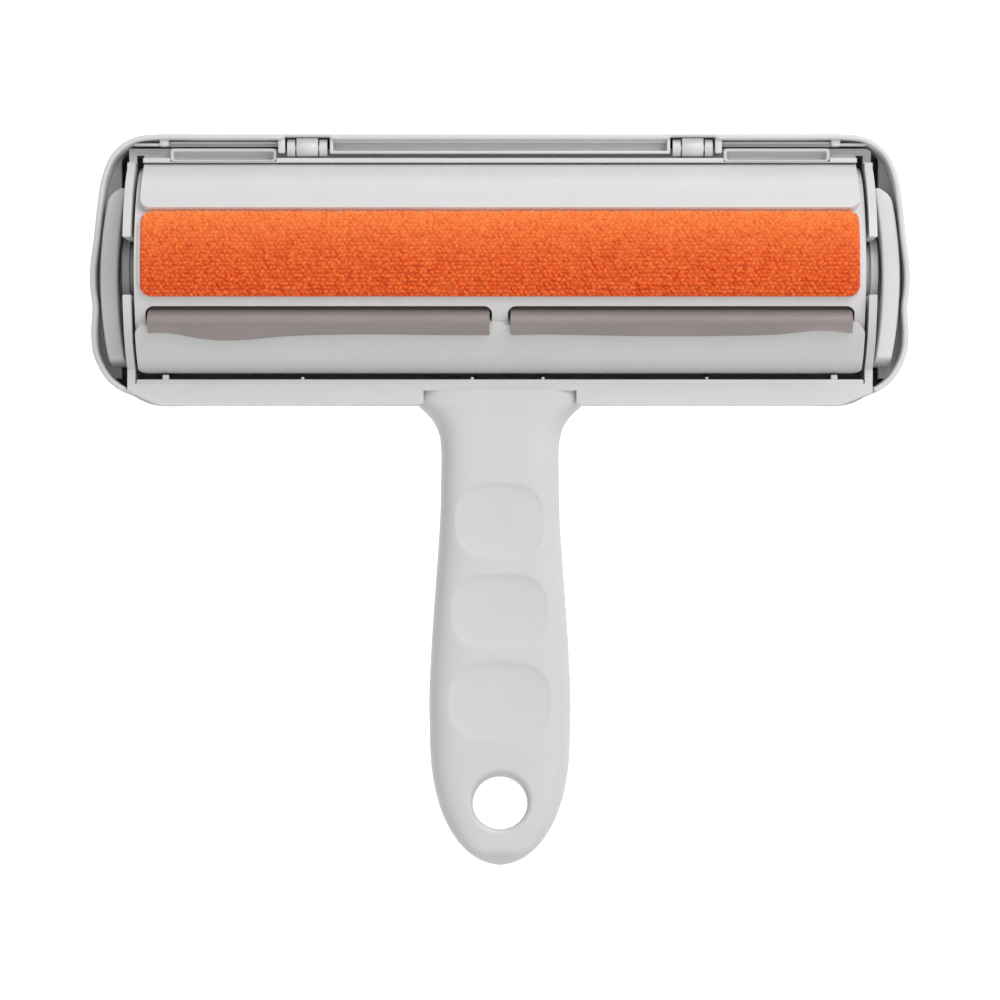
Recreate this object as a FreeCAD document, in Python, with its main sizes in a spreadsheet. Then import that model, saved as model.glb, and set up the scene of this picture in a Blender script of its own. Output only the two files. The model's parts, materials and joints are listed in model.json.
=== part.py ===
import FreeCAD, Part
import math
import os

from FreeCAD import Placement, Rotation, Vector

# Pet hair removal brush: a rocking roller in a frame with a handle, under a hinged bin cover.
# Millimetres. The brush lies on its back: +Z is the working side, the handle points to -Y, and
# the origin is on the table, straight below the middle of the roller's axis.

doc = FreeCAD.newDocument("pet_hair_brush")

# Driving sizes: name, value, what it is.
SIZES = [
    ("axis_height", 24.0, "roller axis above the table"),
    ("head_half_width", 94.4, "half the width of the bin cover"),
    ("head_half_height", 31.0, "half the height of the bin cover"),
    ("cover_wall", 1.2, "wall of the bin cover"),
    ("cover_rim", 36.0, "height of the cover's front rim"),
    ("cover_back_round", 12.0, "rounding round the cover's back"),
    ("cover_lip_height", 13.0, "height of the cover's free edge by the handle"),
    ("band_thickness", 4.1, "thickness of the cover's inner end band"),
    ("band_outer", 92.2, "distance of the end band's outer face from the middle"),
    ("band_bow", 90.0, "radius of the end band's outer face"),
    ("band_inner_bow", 110.0, "radius of the end band's inner face"),
    ("band_middle", 2.0, "distance of the bow's highest point from the roller's axis"),
    ("band_round", 3.4, "rounding of the end band's far corner"),
    ("band_height", 31.0, "height of the inner end band"),
    ("frame_half_width", 85.7, "half the width over the frame's end plates"),
    ("plate_thickness", 1.8, "thickness of an end plate"),
    ("plate_radius", 26.0, "radius of an end plate about the roller axis"),
    ("rail_base", 14.0, "lowest level of the frame"),
    ("rail_top", 36.0, "front face of the rail that carries the handle"),
    ("rail_width", 4.6, "width of that rail"),
    ("crossbar_width", 1.6, "width of the frame's far crossbar"),
    ("crossbar_top", 31.0, "top of the far crossbar"),
    ("gusset_reach", 6.0, "side of the gusset in each far corner of the frame"),
    ("gusset_height", 2.4, "height of those gussets"),
    ("roller_radius", 24.0, "outside of the roller's body"),
    ("roller_wall", 2.0, "wall of the roller's body"),
    ("roller_half_length", 83.2, "half the length of the roller"),
    ("roller_upper_edge", 85.0, "angle of the roller's far edge from straight up"),
    ("roller_lower_edge", 67.4, "angle of the roller's near edge from straight up"),
    ("bar_thickness", 2.0, "thickness of a roller bar"),
    ("bar_inner_edge", 31.2, "angle of each bar's inner edge from straight up"),
    ("bar_corner", 2.4, "corner radius of a roller bar"),
    ("backing_thickness", 0.6, "thickness of the fabric's backing"),
    ("backing_margin", 0.5, "angle by which the backing shows round the fabric"),
    ("fabric_thickness", 1.6, "height of the fabric's bristles"),
    ("fabric_upper", 30.6, "angle of the fabric's far edge"),
    ("fabric_lower", 16.4, "angle of the fabric's near edge"),
    ("fabric_half_length", 81.8, "half the length of the fabric"),
    ("fabric_corner", 2.6, "corner radius of the fabric"),
    ("slot_upper", 22.2, "angle of a hair slot's upper edge"),
    ("slot_length", 79.0, "length of a hair slot"),
    ("slot_web", 3.6, "web between the two hair slots"),
    ("slot_corner", 1.9, "corner radius of a hair slot"),
    ("wiper_thickness", 0.8, "thickness of a rubber wiper"),
    ("wiper_fold", 26.4, "angle at which a wiper folds over"),
    ("wiper_edge", 35.4, "angle of a wiper's free edge"),
    ("wiper_root", 18.6, "radius at which a wiper is clamped"),
    ("wiper_lift", 0.3, "gap between a wiper and the bar below it"),
    ("wiper_end_gap", 0.6, "gap between a wiper and the end of its slot"),
    ("clamp_thickness", 1.6, "thickness of the wiper clamp strip"),
    ("shaft_radius", 3.0, "radius of the roller's shaft"),
    ("shaft_half_length", 87.2, "half the length of the shaft"),
    ("running_gap", 0.05, "radial clearance of the shaft and the pins"),
    ("bearing_radius", 6.6, "outside radius of a bearing"),
    ("bearing_flange", 8.2, "radius of a bearing's flange"),
    ("bearing_flange_width", 1.6, "width of a bearing's flange"),
    ("part_gap", 0.4, "gap between pieces that pass each other"),
    ("rib_thickness", 1.6, "thickness of the roller's inner webs"),
    ("hub_radius", 5.4, "radius of the roller's hub"),
    ("hinge_y", 28.0, "distance of the cover's hinge axis from the roller's"),
    ("hinge_height", 33.0, "height of the cover's hinge axis"),
    ("hinge_radius", 2.0, "radius of a hinge knuckle"),
    ("hinge_pin_radius", 0.9, "radius of a hinge pin"),
    ("hinge_centre", 44.4, "distance of each hinge from the middle"),
    ("knuckle_width", 5.0, "width of the cover's knuckle"),
    ("ear_width", 1.8, "width of a frame ear"),
    ("handle_end", 137.6, "distance of the handle's end from the roller's axis"),
    ("handle_neck_half", 13.8, "half the width of the handle's neck"),
    ("handle_grip_half", 16.2, "half the width of the grip"),
    ("handle_flare_half", 17.6, "half the width of the flare at the rail"),
    ("handle_top_start", 35.0, "height of the handle's front at the rail"),
    ("handle_top_middle", 25.0, "height of the handle's front half way"),
    ("handle_top_end", 14.0, "height of the handle's front at its end"),
    ("handle_low_start", 14.0, "height of the handle's back at the rail"),
    ("handle_low_middle", 4.2, "height of the handle's back half way"),
    ("handle_round", 5.0, "rounding of the handle's long edges"),
    ("parting_drop", 8.5, "depth of the front shell below the handle's front"),
    ("hang_hole_radius", 6.6, "radius of the hanging hole"),
    ("hang_hole_y", 123.6, "distance of the hanging hole from the roller's axis"),
    ("dimple_depth", 0.7, "depth of a finger dimple"),
    ("dimple_sphere", 3.2, "height of the ball that scoops a dimple"),
    ("dimple_pitch", 20.8, "spacing of the finger dimples"),
    ("dimple_first", 58.1, "distance of the first dimple from the roller's axis"),
    ("dimple_half_length", 9.0, "half the length of a dimple"),
    ("dimple_half_width", 10.4, "half the width of the first dimple"),
    ("dimple_growth", 0.7, "gain in half width from one dimple to the next"),
    ("button_y", 44.0, "distance of the release button from the roller's axis"),
    ("button_half_width", 8.0, "half the width of the release button"),
    ("button_half_length", 5.0, "half the length of the release button"),
    ("button_depth", 5.0, "depth of the release button"),
    ("button_proud", 1.2, "how far the button stands proud"),
    ("spring_radius", 2.6, "mean radius of the button's spring"),
    ("spring_wire", 0.35, "wire radius of the button's spring"),
    ("spring_turns", 4.0, "turns of the button's spring"),
    ("screw_head_radius", 2.8, "radius of a handle screw's head"),
    ("screw_radius", 1.4, "radius of a handle screw's shank"),
    ("screw_head_height", 1.8, "height of a handle screw's head"),
    ("strip_thickness", 1.4, "thickness of the catch strip"),
    ("strip_height", 4.6, "height of the catch strip"),
    ("far_bar_half_length", 82.0, "half the length of the far roller bar"),
    ("backing_edge", 0.5, "margin of the backing past the fabric's ends"),
    ("clamp_height", 2.4, "height of the wiper clamp strip"),
    ("seat_depth", 3.0, "depth of the handle's seat in the rail"),
    ("seat_margin", 1.6, "rail left in front of the handle's seat"),
    ("ear_gap", 0.3, "side clearance of a hinge knuckle"),
    ("hinge_skin_gap", 0.3, "clearance behind a hinge knuckle"),
    ("band_near", 22.5, "near end of the inner end band"),
    ("band_far", 18.4, "far end of the inner end band"),
    ("button_ceiling", 21.0, "top of the button's pocket"),
    ("screw_near", 68.0, "distance of the first handle screw"),
    ("screw_far", 108.0, "distance of the second handle screw"),
    ("screw_sunk", 2.0, "depth of a screw head below the surface"),
    ("screw_bite", 5.0, "length of screw in the front shell"),
]

sheet = doc.addObject("Spreadsheet::Sheet", "Sizes")
for row, (name, value, note) in enumerate(SIZES, start=1):
    sheet.set(f"A{row}", name)
    sheet.set(f"B{row}", str(value))
    sheet.set(f"C{row}", note)
    sheet.setAlias(f"B{row}", name)
doc.recompute()

S = {name: value for name, value, note in SIZES}

ALONG_X = Rotation(Vector(1, 1, 1), 120)


def bind(obj, **properties):
    """Tie properties of an object to cells of the sheet. Names are spelt with _ for the dot."""
    for prop, expression in properties.items():
        obj.setExpression(prop.replace("__", "."), expression)
    return obj


def cells(text):
    """Write Sizes. before each size that an expression names."""
    out = []
    word = ""
    for letter in text + " ":
        if letter.isalnum() or letter == "_":
            word += letter
            continue
        out.append(f"Sizes.{word}" if word in S else word)
        word = ""
        out.append(letter)
    return "".join(out).strip()


def box(name, x, y, z, width, depth, height):
    """A box from its low corner and its sides, each an expression."""
    solid = doc.addObject("Part::Box", name)
    bind(
        solid,
        Length=cells(width),
        Width=cells(depth),
        Height=cells(height),
        Placement__Base__x=cells(x),
        Placement__Base__y=cells(y),
        Placement__Base__z=cells(z),
    )
    return solid


def rod(name, radius, start, length, y, z):
    """A round rod along X from its start, at a place in the YZ plane."""
    solid = doc.addObject("Part::Cylinder", name)
    solid.Placement = Placement(Vector(), ALONG_X)
    bind(
        solid,
        Radius=cells(radius),
        Height=cells(length),
        Placement__Base__x=cells(start),
        Placement__Base__y=cells(y),
        Placement__Base__z=cells(z),
    )
    return solid


def post(name, radius, x, y, z, height):
    """A round post along Z."""
    solid = doc.addObject("Part::Cylinder", name)
    bind(
        solid,
        Radius=cells(radius),
        Height=cells(height),
        Placement__Base__x=cells(x),
        Placement__Base__y=cells(y),
        Placement__Base__z=cells(z),
    )
    return solid


def slice_of_rod(name, radius, start, length, low, high):
    """A pie slice of a rod about the roller's axis. Angles run from straight up towards +Y."""
    solid = rod(name, radius, start, length, "0", "axis_height")
    solid.Angle = high - low
    base = solid.Placement.Base
    solid.Placement = Placement(base, ALONG_X * Rotation(Vector(0, 0, 1), 90.0 - high))
    return solid


def cut(name, base, *tools):
    """Base less the tools."""
    tool = tools[0] if len(tools) == 1 else fuse(f"{name}_tools", *tools)
    result = doc.addObject("Part::Cut", name)
    result.Base = base
    result.Tool = tool
    return result


def fuse(name, *shapes):
    """All the shapes in one."""
    result = doc.addObject("Part::MultiFuse", name)
    result.Shapes = list(shapes)
    result.Refine = True
    return result


def common(name, base, tool):
    """What two shapes share."""
    result = doc.addObject("Part::Common", name)
    result.Base = base
    result.Tool = tool
    return result


def band(name, inner, outer, half_length, low, high):
    """A curved strip about the roller's axis, between two radii and two angles."""
    start = f"-({half_length})"
    length = f"2 * ({half_length})"
    solid = slice_of_rod(f"{name}_outer", outer, start, length, low, high)
    bore = rod(f"{name}_bore", inner, f"{start} - 1", f"{length} + 2", "0", "axis_height")
    return cut(name, solid, bore)


def rounded(name, base, radius, test):
    """Round the edges of a solid that pass a test."""
    doc.recompute()
    result = doc.addObject("Part::Fillet", name)
    result.Base = base
    chosen = [number for number, edge in enumerate(base.Shape.Edges, start=1) if test(edge)]
    result.Edges = [(number, radius, radius) for number in chosen]
    return result


def runs_along(edge, axis):
    """True for a straight edge along an axis."""
    if len(edge.Vertexes) != 2 or not isinstance(edge.Curve, Part.Line):
        return False
    direction = (edge.Vertexes[1].Point - edge.Vertexes[0].Point).normalize()
    return abs(abs(direction.dot(axis)) - 1) < 1e-6


def is_radial(edge):
    """True for a straight edge across the roller's axis."""
    if len(edge.Vertexes) != 2 or not isinstance(edge.Curve, Part.Line):
        return False
    direction = edge.Vertexes[1].Point - edge.Vertexes[0].Point
    return abs(direction.x) < 1e-6


# The head's outline: inset from its side, with drop from the far edge or rise from the near one.
FAR_FLANK = [(14.4, 0.0), (6.4, 2.7), (2.5, 10.2), (1.2, 21.5), (0.0, 30.0)]
NEAR_FLANK = [(0.2, 26.5), (0.7, 22.0), (0.3, 15.5), (2.2, 7.8), (6.1, 3.8), (13.3, 0.0)]


def outline_prism(name, inset, near_inset):
    """An upright block with the head's wavy outline, set in from its sides and its near edge."""
    half = S["head_half_width"] - inset
    far = S["head_half_height"] - inset
    near = near_inset - S["head_half_height"]
    flank = [Vector(half - step, far - drop, 0) for step, drop in FAR_FLANK]
    flank += [Vector(half - step, near + rise, 0) for step, rise in NEAR_FLANK]
    other = [Vector(-point.x, point.y, 0) for point in reversed(flank)]
    sides = []
    for points, first, last in (
        (flank, Vector(1, 0, 0), Vector(-1, -0.4, 0)),
        (other, Vector(-1, 0.4, 0), Vector(1, 0, 0)),
    ):
        curve = Part.BSplineCurve()
        curve.interpolate(Points=points, InitialTangent=first, FinalTangent=last)
        sides.append(curve)
    near_line = Part.LineSegment(flank[-1], other[0])
    far_line = Part.LineSegment(other[-1], flank[0])
    loop = [sides[0].toShape(), near_line.toShape(), sides[1].toShape(), far_line.toShape()]
    plan = doc.addObject("Part::Feature", f"{name}_plan")
    plan.Shape = Part.Face(Part.Wire(loop))
    prism = doc.addObject("Part::Extrusion", name)
    prism.Base = plan
    prism.DirMode = "Custom"
    prism.Dir = Vector(0, 0, 1)
    prism.LengthFwd = 80
    prism.Solid = True
    return prism


def tray(name, inset):
    """The cover's outer form, or its inside when a wall is taken off all round."""
    less = str(inset)
    block = (
        f"-head_half_width + {less}",
        f"-head_half_height + {less}",
        less,
        f"2 * (head_half_width - {less})",
        f"2 * (head_half_height - {less})",
        "cover_rim",
    )
    hulls = []
    for word, axis in (("trough", Vector(1, 0, 0)), ("cradle", Vector(0, 1, 0))):
        hulls.append(
            rounded(
                f"{name}_{word}",
                box(f"{name}_{word}_block", *block),
                S["cover_back_round"] - inset,
                lambda e, axis=axis: runs_along(e, axis) and e.CenterOfMass.z < inset + 0.01,
            )
        )
    return common(name, common(f"{name}_hull", *hulls), outline_prism(f"{name}_outline", inset, inset))


def finish(obj, node):
    """Name a finished piece after its node."""
    obj.Label = node
    pieces.append(obj)
    return obj


pieces = []

AXIS = "axis_height"
UPPER = S["roller_upper_edge"]
LOWER = -S["roller_lower_edge"]
BAR = S["bar_inner_edge"]


def wiper_spans():
    """Start and length of the left and the right wiper."""
    half = "slot_length / 2 - wiper_end_gap"
    centre = "(slot_web + slot_length) / 2"
    return {
        "left": (f"-({centre}) - ({half})", f"2 * ({half})"),
        "right": (f"{centre} - ({half})", f"2 * ({half})"),
    }


def clamp_blocks(kind):
    """The two strips that clamp the wipers' feet."""
    blocks = []
    for side, (start, length) in wiper_spans().items():
        offset = S["wiper_thickness"]
        blocks.append(leaning_box(f"{side}_{kind}", start, offset, length, "clamp_thickness", "clamp_height"))
    return blocks


def make_roller_body():
    """Curved shell with end webs, hubs and two slots that let the hair in."""
    shell = band(
        "roller_skin", "roller_radius - roller_wall", "roller_radius", "roller_half_length", LOWER, UPPER
    )
    solids = [shell]
    inner = "roller_radius - roller_wall / 2"
    places = [
        "-roller_half_length",
        "-roller_half_length / 3",
        "roller_half_length / 3 - rib_thickness",
        "roller_half_length - rib_thickness",
    ]
    for number, place in enumerate(places):
        solids.append(slice_of_rod(f"roller_web_{number}", inner, place, "rib_thickness", LOWER, UPPER))
        solids.append(rod(f"roller_hub_{number}", "hub_radius", place, "rib_thickness", "0", AXIS))
    whole = fuse("roller_solid", *solids)
    bore_length = "2 * roller_half_length + 2"
    tools = [rod("roller_bore", "shaft_radius", "-roller_half_length - 1", bore_length, "0", AXIS)]
    tools += clamp_blocks("clamp_notch")
    for side, start in (("left", "-slot_web / 2 - slot_length"), ("right", "slot_web / 2")):
        outer = slice_of_rod(
            f"{side}_slot_block", "roller_radius + 1", start, "slot_length", -BAR, -S["slot_upper"]
        )
        bore = rod(f"{side}_slot_core", "wiper_root - 1", f"{start} - 1", "slot_length + 2", "0", AXIS)
        sharp = cut(f"{side}_slot_sharp", outer, bore)
        upper = math.radians((BAR + S["slot_upper"]) / 2)
        tools.append(
            rounded(
                f"{side}_slot",
                sharp,
                S["slot_corner"],
                lambda e: is_radial(e)
                and -e.CenterOfMass.y < (e.CenterOfMass.z - S["axis_height"]) * math.tan(upper),
            )
        )
    finish(cut("roller_body_shape", whole, *tools), "roller_body")


def make_roller_bars():
    """The two smooth bars that flank the fabric."""
    inner = "roller_radius"
    outer = "roller_radius + bar_thickness"
    for node, half, low, high in (
        ("far_roller_bar", "far_bar_half_length", BAR, UPPER),
        ("near_roller_bar", "roller_half_length", LOWER, -BAR),
    ):
        sharp = band(f"{node}_sharp", inner, outer, half, low, high)
        finish(rounded(f"{node}_shape", sharp, S["bar_corner"], is_radial), node)


def make_fabric():
    """The bristle fabric and the backing that glues it to the roller."""
    margin = S["backing_margin"]
    low = -S["fabric_lower"]
    high = S["fabric_upper"]
    middle = "roller_radius + backing_thickness"
    backing = band("backing_sharp", "roller_radius", middle, "fabric_half_length + backing_edge", low - margin, high + margin)
    finish(rounded("backing_shape", backing, S["fabric_corner"] + S["backing_edge"], is_radial), "fabric_backing")
    pile = band("pile_sharp", middle, f"{middle} + fabric_thickness", "fabric_half_length", low, high)
    finish(rounded("pile_shape", pile, S["fabric_corner"], is_radial), "bristle_fabric")


def leaning_box(name, start, offset, length, depth, height):
    """A box whose height points away from the roller's axis along a wiper's foot."""
    solid = doc.addObject("Part::Box", name)
    lean = Rotation(Vector(1, 0, 0), S["wiper_fold"])
    foot = lean.multVec(Vector(0, offset, S["wiper_root"]))
    solid.Placement = Placement(Vector(0, foot.y, S["axis_height"] + foot.z), lean)
    bind(
        solid,
        Length=cells(length),
        Width=cells(depth),
        Height=cells(height),
        Placement__Base__x=cells(start),
    )
    return solid


def make_wipers():
    """Two folded rubber wipers, each with its foot clamped inside the roller."""
    fold = S["wiper_fold"]
    flap_inner = "roller_radius + bar_thickness + wiper_lift"
    flap_outer = f"{flap_inner} + wiper_thickness"
    for side, (start, length) in wiper_spans().items():
        outer = slice_of_rod(f"{side}_flap_outer", flap_outer, start, length, -S["wiper_edge"], -fold)
        bore = rod(f"{side}_flap_bore", flap_inner, f"{start} - 1", f"{length} + 2", "0", AXIS)
        flap = cut(f"{side}_flap", outer, bore)
        foot_height = f"{flap_outer} - wiper_root"
        foot = leaning_box(f"{side}_foot", start, 0.0, length, "wiper_thickness", foot_height)
        finish(fuse(f"{side}_wiper_shape", flap, foot), f"{side}_wiper")
    grouped = doc.addObject("Part::Compound", "wiper_clamps_shape")
    grouped.Links = clamp_blocks("clamp")
    finish(grouped, "wiper_clamps")


def make_shaft_and_bearings():
    """Steel shaft and the flanged bearings that hold its ends in the frame's slots."""
    finish(rod("shaft_shape", "shaft_radius", "-shaft_half_length", "2 * shaft_half_length", "0", AXIS), "roller_shaft")
    body_length = "frame_half_width - roller_half_length - part_gap"
    for side in ("left", "right"):
        if side == "left":
            body_start = "-frame_half_width"
            flange_start = "-frame_half_width - bearing_flange_width"
        else:
            body_start = "roller_half_length + part_gap"
            flange_start = "frame_half_width"
        body = rod(f"{side}_bearing_body", "bearing_radius", body_start, body_length, "0", AXIS)
        flange = rod(f"{side}_bearing_flange", "bearing_flange", flange_start, "bearing_flange_width", "0", AXIS)
        whole = fuse(f"{side}_bearing_whole", body, flange)
        bore = rod(
            f"{side}_bearing_bore",
            "shaft_radius + running_gap",
            f"{flange_start} - 10",
            "20",
            "0",
            AXIS,
        )
        finish(cut(f"{side}_bearing_shape", whole, bore), f"{side}_bearing")


def make_roller_frame():
    """Frame with two end plates, the handle's rail, the far crossbar and the hinge ears."""
    inner_half = "frame_half_width - plate_thickness"
    clear = "roller_radius + bar_thickness + part_gap"
    rail_outer = "head_half_height"
    disc = slice_of_rod("plate_disc", "plate_radius", "-frame_half_width", "2 * frame_half_width", -90, 90)
    lower = box(
        "plate_block",
        "-frame_half_width",
        "-head_half_height",
        "rail_base",
        "2 * frame_half_width",
        f"{rail_outer} + {clear} + crossbar_width",
        "rail_top - rail_base",
    )
    far_cut = box(
        "plate_far_step",
        "-frame_half_width - 1",
        f"{clear} - 2",
        "crossbar_top",
        "2 * frame_half_width + 2",
        "10",
        "20",
    )
    profile = cut("plate_profile", fuse("plate_solid", disc, lower), far_cut)
    hollow = box(
        "frame_hollow",
        f"-({inner_half})",
        f"-({clear})",
        "0",
        f"2 * ({inner_half})",
        f"2 * ({clear})",
        "80",
    )
    over = box("over_bar", f"-({inner_half})", "0", "crossbar_top", f"2 * ({inner_half})", "40", "40")
    slot_round = rod("shaft_slot_round", "bearing_radius", "-frame_half_width - 1", "2 * frame_half_width + 2", "0", AXIS)
    slot_open = box(
        "shaft_slot_open",
        "-frame_half_width - 1",
        "-bearing_radius",
        AXIS,
        "2 * frame_half_width + 2",
        "2 * bearing_radius",
        "40",
    )
    seat = box(
        "handle_seat",
        "-handle_flare_half",
        "-head_half_height - 1",
        "rail_top - seat_depth",
        "2 * handle_flare_half",
        "1 + rail_width - seat_margin",
        "10",
    )
    limit = outline_prism("frame_limit", S["cover_wall"] + S["part_gap"], 0.0)
    open_frame = cut("frame_cut", profile, hollow, over, slot_round, slot_open, seat)
    gussets = []
    for side, start in (("left", f"-({inner_half})"), ("right", f"{inner_half} - gusset_reach")):
        low = f"{clear} - gusset_reach"
        gussets.append(
            box(f"{side}_gusset", start, low, "rail_base", "gusset_reach", "gusset_reach", "gusset_height")
        )
    frame = common("frame_bounded", fuse("frame_with_gussets", open_frame, *gussets), limit)
    ears = []
    for name, start in ear_places():
        barrel = rod(f"{name}_barrel", "hinge_radius", start, "ear_width", "hinge_y", "hinge_height")
        root = box(
            f"{name}_root",
            start,
            clear,
            "crossbar_top - 2",
            "ear_width",
            f"hinge_y - ({clear})",
            "hinge_height - crossbar_top + 2",
        )
        ears += [barrel, root]
    bores = [
        rod(f"frame_pin_bore_{n}", "hinge_pin_radius", start, "2 * ear_width + knuckle_width + 2", "hinge_y", "hinge_height")
        for n, start in enumerate(pin_places())
    ]
    finish(cut("roller_frame_shape", fuse("frame_with_ears", frame, *ears), *bores), "roller_frame")


def ear_places():
    """Names and starts of the frame's four hinge ears."""
    half = "knuckle_width / 2 + ear_gap"
    return [
        ("left_outer_ear", f"-hinge_centre - ({half}) - ear_width"),
        ("left_inner_ear", f"-hinge_centre + {half}"),
        ("right_inner_ear", f"hinge_centre - ({half}) - ear_width"),
        ("right_outer_ear", f"hinge_centre + {half}"),
    ]


def pin_places():
    """Starts of the two hinge pins."""
    back = "knuckle_width / 2 + ear_gap + ear_width"
    return [f"-hinge_centre - ({back})", f"hinge_centre - ({back})"]


def make_cover():
    """Bin cover: a rounded tray with end bands, hinge knuckles and an opening for the frame."""
    outer = tray("cover_outside", 0.0)
    cavity = tray("cavity", S["cover_wall"])
    mouth = box(
        "cover_mouth",
        "-frame_half_width - part_gap",
        "-head_half_height - 1",
        "cover_lip_height",
        "2 * (frame_half_width + part_gap)",
        "12",
        "40",
    )
    shell = cut("cover_shell", outer, cavity, mouth)
    solids = [shell]
    for side, sign in (("left", -1), ("right", 1)):
        centre = f"{sign} * (band_outer - band_bow)"
        outside = post(f"{side}_band_outer", "band_bow", centre, "-band_middle", "cover_wall / 2", "band_height")
        hollow = post(
            f"{side}_band_inner",
            "band_inner_bow",
            f"{sign} * (band_outer - band_thickness - band_inner_bow)",
            "-band_middle",
            "0",
            "60",
        )
        start = "-band_outer - 1" if side == "left" else "band_outer - 9"
        span = box(f"{side}_band_span", start, "-band_near", "0", "10", "band_far + band_near", "60")
        bowed = common(f"{side}_band_sharp", cut(f"{side}_band_ring", outside, hollow), span)
        outer_line = S["band_outer"] - S["band_thickness"] + 1
        solids.append(
            rounded(
                f"{side}_band",
                bowed,
                S["band_round"],
                lambda e, sign=sign: runs_along(e, Vector(0, 0, 1))
                and e.CenterOfMass.y > 0
                and e.CenterOfMass.x * sign > outer_line,
            )
        )
    notches = []
    for n, centre in enumerate(("-hinge_centre", "hinge_centre")):
        half = "knuckle_width / 2 + 2 * ear_gap + ear_width"
        notches.append(
            box(
                f"hinge_notch_{n}",
                f"{centre} - ({half})",
                "hinge_y - hinge_radius - 3",
                "crossbar_top - 2 - part_gap",
                f"2 * ({half})",
                "2 * hinge_radius + 3 + hinge_skin_gap",
                "20",
            )
        )
    notched = cut("cover_notched", fuse("cover_with_bands", *solids), *notches)
    knuckles = []
    for n, centre in enumerate(("-hinge_centre", "hinge_centre")):
        start = f"{centre} - knuckle_width / 2"
        knuckles.append(rod(f"knuckle_{n}", "hinge_radius", start, "knuckle_width", "hinge_y", "hinge_height"))
        knuckles.append(
            box(
                f"knuckle_root_{n}",
                start,
                "hinge_y",
                "hinge_height - hinge_radius + 0.4",
                "knuckle_width",
                "head_half_height - hinge_y",
                "2 * hinge_radius - 0.8",
            )
        )
    bores = [
        rod(f"cover_pin_bore_{n}", "hinge_pin_radius + running_gap", f"{centre} - 8", "16", "hinge_y", "hinge_height")
        for n, centre in enumerate(("-hinge_centre", "hinge_centre"))
    ]
    finish(cut("cover_shape", fuse("cover_with_knuckles", notched, *knuckles), *bores), "bin_cover")


def make_hinge_pins():
    """The two pins of the cover's hinge."""
    pins = [
        rod(f"hinge_pin_{n}", "hinge_pin_radius", start, "knuckle_width + 2 * ear_gap + 2 * ear_width", "hinge_y", "hinge_height")
        for n, start in enumerate(pin_places())
    ]
    grouped = doc.addObject("Part::Compound", "hinge_pins_shape")
    grouped.Links = pins
    finish(grouped, "hinge_pins")


def arc_height(points, y):
    """Height at y of the circle through three points of the side view."""
    circle = Part.Arc(*[Vector(0, point[0], point[1]) for point in points]).toShape().Curve
    centre = circle.Center
    side = 1 if points[1][1] > centre.z else -1
    return centre.z + side * math.sqrt(circle.Radius**2 - (y - centre.y) ** 2)


def handle_curves():
    """Three points each for the handle's front, parting line and back, in the side view."""
    start = -S["head_half_height"]
    end = -S["handle_end"]
    middle = (start + end) / 2
    front = [(start, S["handle_top_start"]), (middle, S["handle_top_middle"]), (end, S["handle_top_end"])]
    parting = [(y, z - S["parting_drop"]) for y, z in front]
    back = [(start, S["handle_low_start"]), (middle, S["handle_low_middle"]), (end, 0.0)]
    return front, parting, back


def side_slab(name, upper, lower):
    """A slab across the handle between two curves of the side view."""
    reach = 60.0
    above = [Vector(-reach, y, z) for y, z in upper]
    below = [Vector(-reach, y, z) for y, z in lower]
    top = Part.Arc(*above).toShape()
    bottom = Part.Arc(*below).toShape()
    ends = [
        Part.LineSegment(above[0], below[0]).toShape(),
        Part.LineSegment(above[2], below[2]).toShape(),
    ]
    face = Part.Face(Part.Wire(Part.__sortEdges__([top, bottom, *ends])))
    solid = doc.addObject("Part::Feature", name)
    solid.Shape = face.extrude(Vector(2 * reach, 0, 0))
    return solid


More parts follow.
